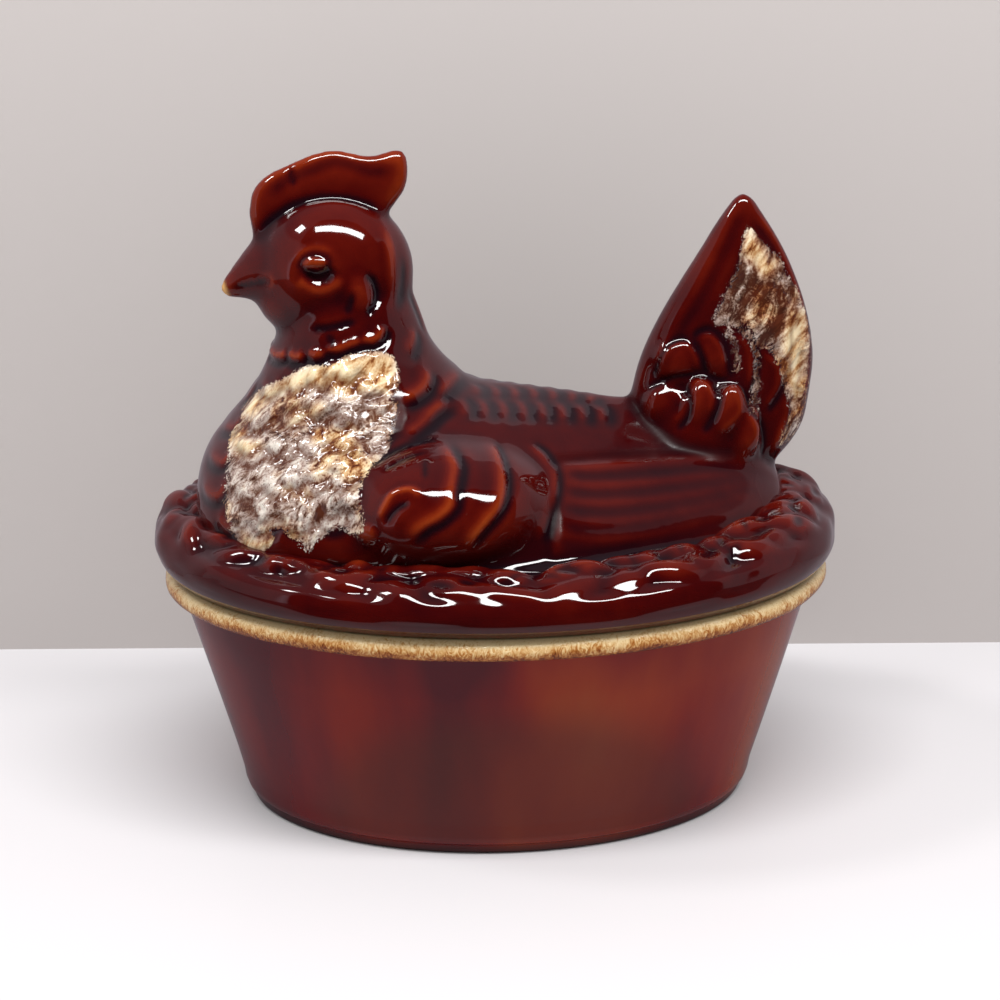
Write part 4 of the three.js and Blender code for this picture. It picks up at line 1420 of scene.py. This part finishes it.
def hen_glaze_material():
    material, wires, surface, place = new_material("hen_glaze")
    names = ("ridge", "swelling", "rust", "foam", "cream", "dense", "worn", "dull")
    mask = {name: wires.attribute(name) for name in names}
    pool = wires.maths("MAXIMUM", wires.attribute("pool"), wires.attribute("sunk"))
    shared = {"Place": place, "Ridge": mask["ridge"], "Pool": pool}
    brown = wires.group(brown_glaze, Swelling=mask["swelling"], Rust=mask["rust"], **shared)
    masks = {"Mask": mask["foam"], "Cream": mask["cream"], "Dense": mask["dense"]}
    foam = wires.group(foam_glaze, **masks, **shared)
    tint = wires.blended(mask["worn"], brown["Color"], colour(206, 158, 96))
    tint = wires.blended(foam["Cover"], tint, foam["Color"])
    gloss = wires.scaled(foam["Cover"], 0.02, glaze_roughness)
    height = wires.times(foam["Height"], foam["Cover"])
    height = wires.scaled(wires.noise(place, 55, 2), 0.25, height)
    looks = {
        "Base Color": tint,
        "Roughness": wires.scaled(mask["dull"], 0.3, gloss),
        "Specular IOR Level": wires.scaled(mask["dull"], -0.42, 0.5),
        "Normal": wires.bump(height, 0.5, 0.0012),
        "IOR": glaze_ior,
    }
    for label, value in looks.items():
        wires.feed(surface[label], value)
    return material


hen_glaze = hen_glaze_material()

# %% [markdown]
# The dish's glaze was poured: it hangs in soft upright clouds, orange brown and purple
# brown. Just under the rim it is painted darker and bluer, which is painted shade of the roll.
# The rolled rim was dipped in the white glaze, which ran a little: thick and cream on top,
# gold and fibrous below; its top is also painted lighter, which is painted light.

# %% Glaze of the dish
poured_stops = [
    (0.3, 70, 1, 11), (0.41, 96, 8, 6), (0.5, 114, 20, 1), (0.6, 130, 40, 3), (0.74, 138, 62, 18),
]
rim_stops = [
    (0.1, 76, 28, 8), (0.26, 120, 58, 18), (0.42, 166, 104, 46), (0.58, 202, 156, 98),
    (0.8, 230, 204, 156),
]
cloud_width = 0.065


def dish_glaze_material():
    material, wires, surface, place = new_material("dish_glaze")
    hanging = wires.stretched(place, (1, 1, 0.22))
    clouds = wires.noise(hanging, 14, 2, 0.45, 0.3)
    value = wires.varied(clouds, wires.noise(hanging, 60), 0.16)
    height = wires.attribute("height")
    # Painted shade: the side is made darker and bluer just under the roll.
    painted_shade_under_rim = wires.maths("DIVIDE", wires.minus(height, 72), 22, clamp=True)
    value = wires.scaled(painted_shade_under_rim, -0.08, value)
    along = wires.add("SeparateXYZ", {0: place}, "X")
    swing = wires.maths("COSINE", wires.scaled(along, math.pi / cloud_width, 4.6))
    tint = wires.ramp(wires.scaled(swing, 0.035, value), poured_stops)
    foot = wires.minus(1.0, wires.maths("DIVIDE", height, 5.5, clamp=True))
    tint = wires.blended(foot, tint, colour(26, 16, 16))
    inner = wires.times(wires.attribute("lining"), 0.6)
    tint = wires.blended(inner, tint, colour(70, 26, 16))
    # The roll: fibres of gold under cream, lighter towards its top, partly from the thick white
    # glaze there and partly as painted light that lifts the top out of the nest's shade
    fibres = wires.noise(wires.stretched(place, (1, 1, 0.5)), 560, 5, 0.7, 1.6)
    lightness = wires.scaled(wires.minus(height, 92.5), 0.08, -0.05)
    lightness = wires.scaled(fibres, 1.5, lightness)
    lightness = wires.scaled(wires.noise(place, 60), 0.6, lightness)
    lightness = wires.minus(lightness, 0.84)
    cover = wires.fade(wires.scaled(fibres, 0.5, wires.attribute("roll")), 0.62, 0.84)
    tint = wires.blended(cover, tint, wires.ramp(lightness, rim_stops))
    # The very top of the roll, where the lid's seat rests on it, is coloured dark brown
    tint = wires.blended(wires.attribute("seat"), tint, colour(34, 12, 8))
    relief_height = wires.scaled(clouds, 0.5, wires.times(fibres, cover))
    looks = {
        "Base Color": tint,
        "Roughness": wires.scaled(cover, 0.04, glaze_roughness),
        "Normal": wires.bump(relief_height, 0.4, 0.001),
        "IOR": glaze_ior,
    }
    for label, value in looks.items():
        wires.feed(surface[label], value)
    return material


dish_glaze = dish_glaze_material()


# %% Finish the pieces
def finish_piece(piece, material, body_name, node):
    write_places(piece.data, read_places(piece.data) * mm)
    piece.data.polygons.foreach_set("use_smooth", np.ones(len(piece.data.polygons), bool))
    piece.data.materials.clear()
    piece.data.materials.append(material)
    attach(piece, body_name)
    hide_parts(node)
    print(piece.name, len(piece.data.vertices), "vertices")


finish_piece(dish, dish_glaze, "dish", "dish")
finish_piece(hen, hen_glaze, "lid", "hen_lid")
finish_piece(nest, hen_glaze, "lid", "hen_lid")

# %% [markdown]
# The room: a pale table, a pale wall close behind, one long soft light overhead and a small
# one to the left. A glossy glaze shows what stands round it, so the front of the room is
# darker: that gives it deep clear patches beside the pale ones.

# %% Table and wall
table_back = 158
table_end = -185
table_size = 3000
wall_height = 420
wall_turn = math.tan(math.radians(-3.5))


def plain_material(name, tint, mirrored_near, mirrored_far, roughness):
    """A plain surface, clear from behind. The glaze mirrors it in other tones, as the pale
    table ends not far in front of the dish: past that, the room is dark."""
    material, wires, surface, place = new_material(name)
    depth = wires.add("SeparateXYZ", {0: place}, "Y")
    past = wires.scaled(depth, -80, table_end * 80 * mm, clamp=True)
    mirrored = wires.blended(past, mirrored_near, mirrored_far)
    glossy_ray = wires.add("LightPath", {}, "Is Glossy Ray")
    wires.feed(surface["Base Color"], wires.blended(glossy_ray, tint, mirrored))
    wires.feed(surface["Roughness"], roughness)
    wires.feed(surface["Specular IOR Level"], 0.2)
    behind = wires.add("NewGeometry", {}, "Backfacing")
    front, clear = wires.nodes["Principled BSDF"].outputs[0], wires.add("BsdfTransparent", {})
    shader = wires.add("MixShader", {0: behind, 1: front, 2: clear})
    wires.links.new(shader, wires.nodes["Material Output"].inputs["Surface"])
    return material


def stage_plane(name, points, material):
    form = bmesh.new()
    form.faces.new([form.verts.new(Vector(p) * mm) for p in points])
    mesh = bpy.data.meshes.new(name)
    form.to_mesh(mesh)
    form.free()
    mesh.materials.append(material)
    piece = linked(name, mesh)
    return piece


table_tints = colour(214, 211, 213), colour(136, 132, 138), colour(22, 21, 22)
wall_tints = colour(181, 175, 173), colour(148, 140, 146), colour(148, 140, 146)
table_material = plain_material("pale_table", *table_tints, 0.35)
wall_material = plain_material("pale_wall", *wall_tints, 0.9)
wide = table_size / 2
ground = [(-wide, -wide, 0), (wide, -wide, 0), (wide, wide, 0), (-wide, wide, 0)]
stage_plane("table", ground, table_material)
left_foot, right_foot = table_back - wide * wall_turn, table_back + wide * wall_turn
wall_corners = [
    (wide, right_foot, 0), (wide, right_foot, wall_height), (-wide, left_foot, wall_height),
    (-wide, left_foot, 0),
]
backdrop = stage_plane("backdrop", wall_corners, wall_material)
backdrop.visible_shadow = False
backdrop.visible_diffuse = False


# %% Lamps
aimed_at = (0, 0, 140)


def soft_light(name, at, size, power, tilt=0):
    data = bpy.data.lights.new(name, "AREA")
    data.shape = "RECTANGLE"
    data.size, data.size_y = (s * mm for s in size)
    data.energy = power
    lamp = linked(name, data)
    lamp.location = Vector(at) * mm
    lamp.rotation_mode = "QUATERNION"
    aim = (Vector(aimed_at) - Vector(at)).to_track_quat("-Z", "Y")
    lamp.rotation_quaternion = aim @ Quaternion((0, 0, 1), math.radians(tilt))


soft_light("long_light", (85, -490, 1170), (1130, 180), 17.5, -15)
soft_light("small_light", (-640, -150, 980), (170, 150), 2.4)

# %% World
# The open front: between a wall on the left, one on the right, and the light overhead
left_wall, right_wall, ceiling = -1.48, 2.9, 6
overhead_start, bright_edge = 0.62, 1.75

world = bpy.data.worlds.new("room")
bpy.context.scene.world = world
world.use_nodes = True
wires = Wiring(world.node_tree)
direction = wires.add("TexCoord", {}, "Generated")
x, y, z = (wires.add("SeparateXYZ", {0: direction}, axis) for axis in "XYZ")
forward = wires.times(y, -1)


def past_edge(value, edge):
    """0 before an edge and 1 past it, a little softened."""
    return wires.scaled(wires.minus(value, edge), 18, 0.5, clamp=True)


def before_edge(value, edge):
    return wires.minus(1, past_edge(value, edge))


sideways = wires.maths("DIVIDE", x, wires.maths("MAXIMUM", forward, 0.02))
lifted = wires.maths("DIVIDE", z, wires.maths("MAXIMUM", forward, 0.02))
opening = past_edge(sideways, left_wall)
for side in (before_edge(sideways, right_wall), before_edge(lifted, ceiling)):
    opening = wires.times(opening, side)
opening = wires.times(opening, past_edge(forward, 0.05))
overhead = past_edge(z, overhead_start)
shine = wires.blended(overhead, colour(160, 154, 160), colour(122, 116, 122))
# The left wall is brightest along its front edge, low down
edge_light = wires.maths("ABSOLUTE", wires.maths("ADD", sideways, bright_edge))
edge_light = wires.scaled(edge_light, -3.2, 1.1, clamp=True)
for side in (before_edge(z, 0.4), past_edge(forward, 0.05)):
    edge_light = wires.times(edge_light, side)
shine = wires.blended(edge_light, shine, colour(226, 220, 236))
shine = wires.blended(opening, shine, colour(24, 22, 22))
rays = wires.nodes.new("ShaderNodeLightPath").outputs
tint = wires.blended(rays["Is Glossy Ray"], colour(194, 193, 192), shine)
tint = wires.blended(rays["Is Camera Ray"], tint, colour(214, 211, 208))
wires.links.new(tint, wires.nodes["Background"].inputs["Color"])
bpy.context.scene.view_settings.view_transform = "Standard"
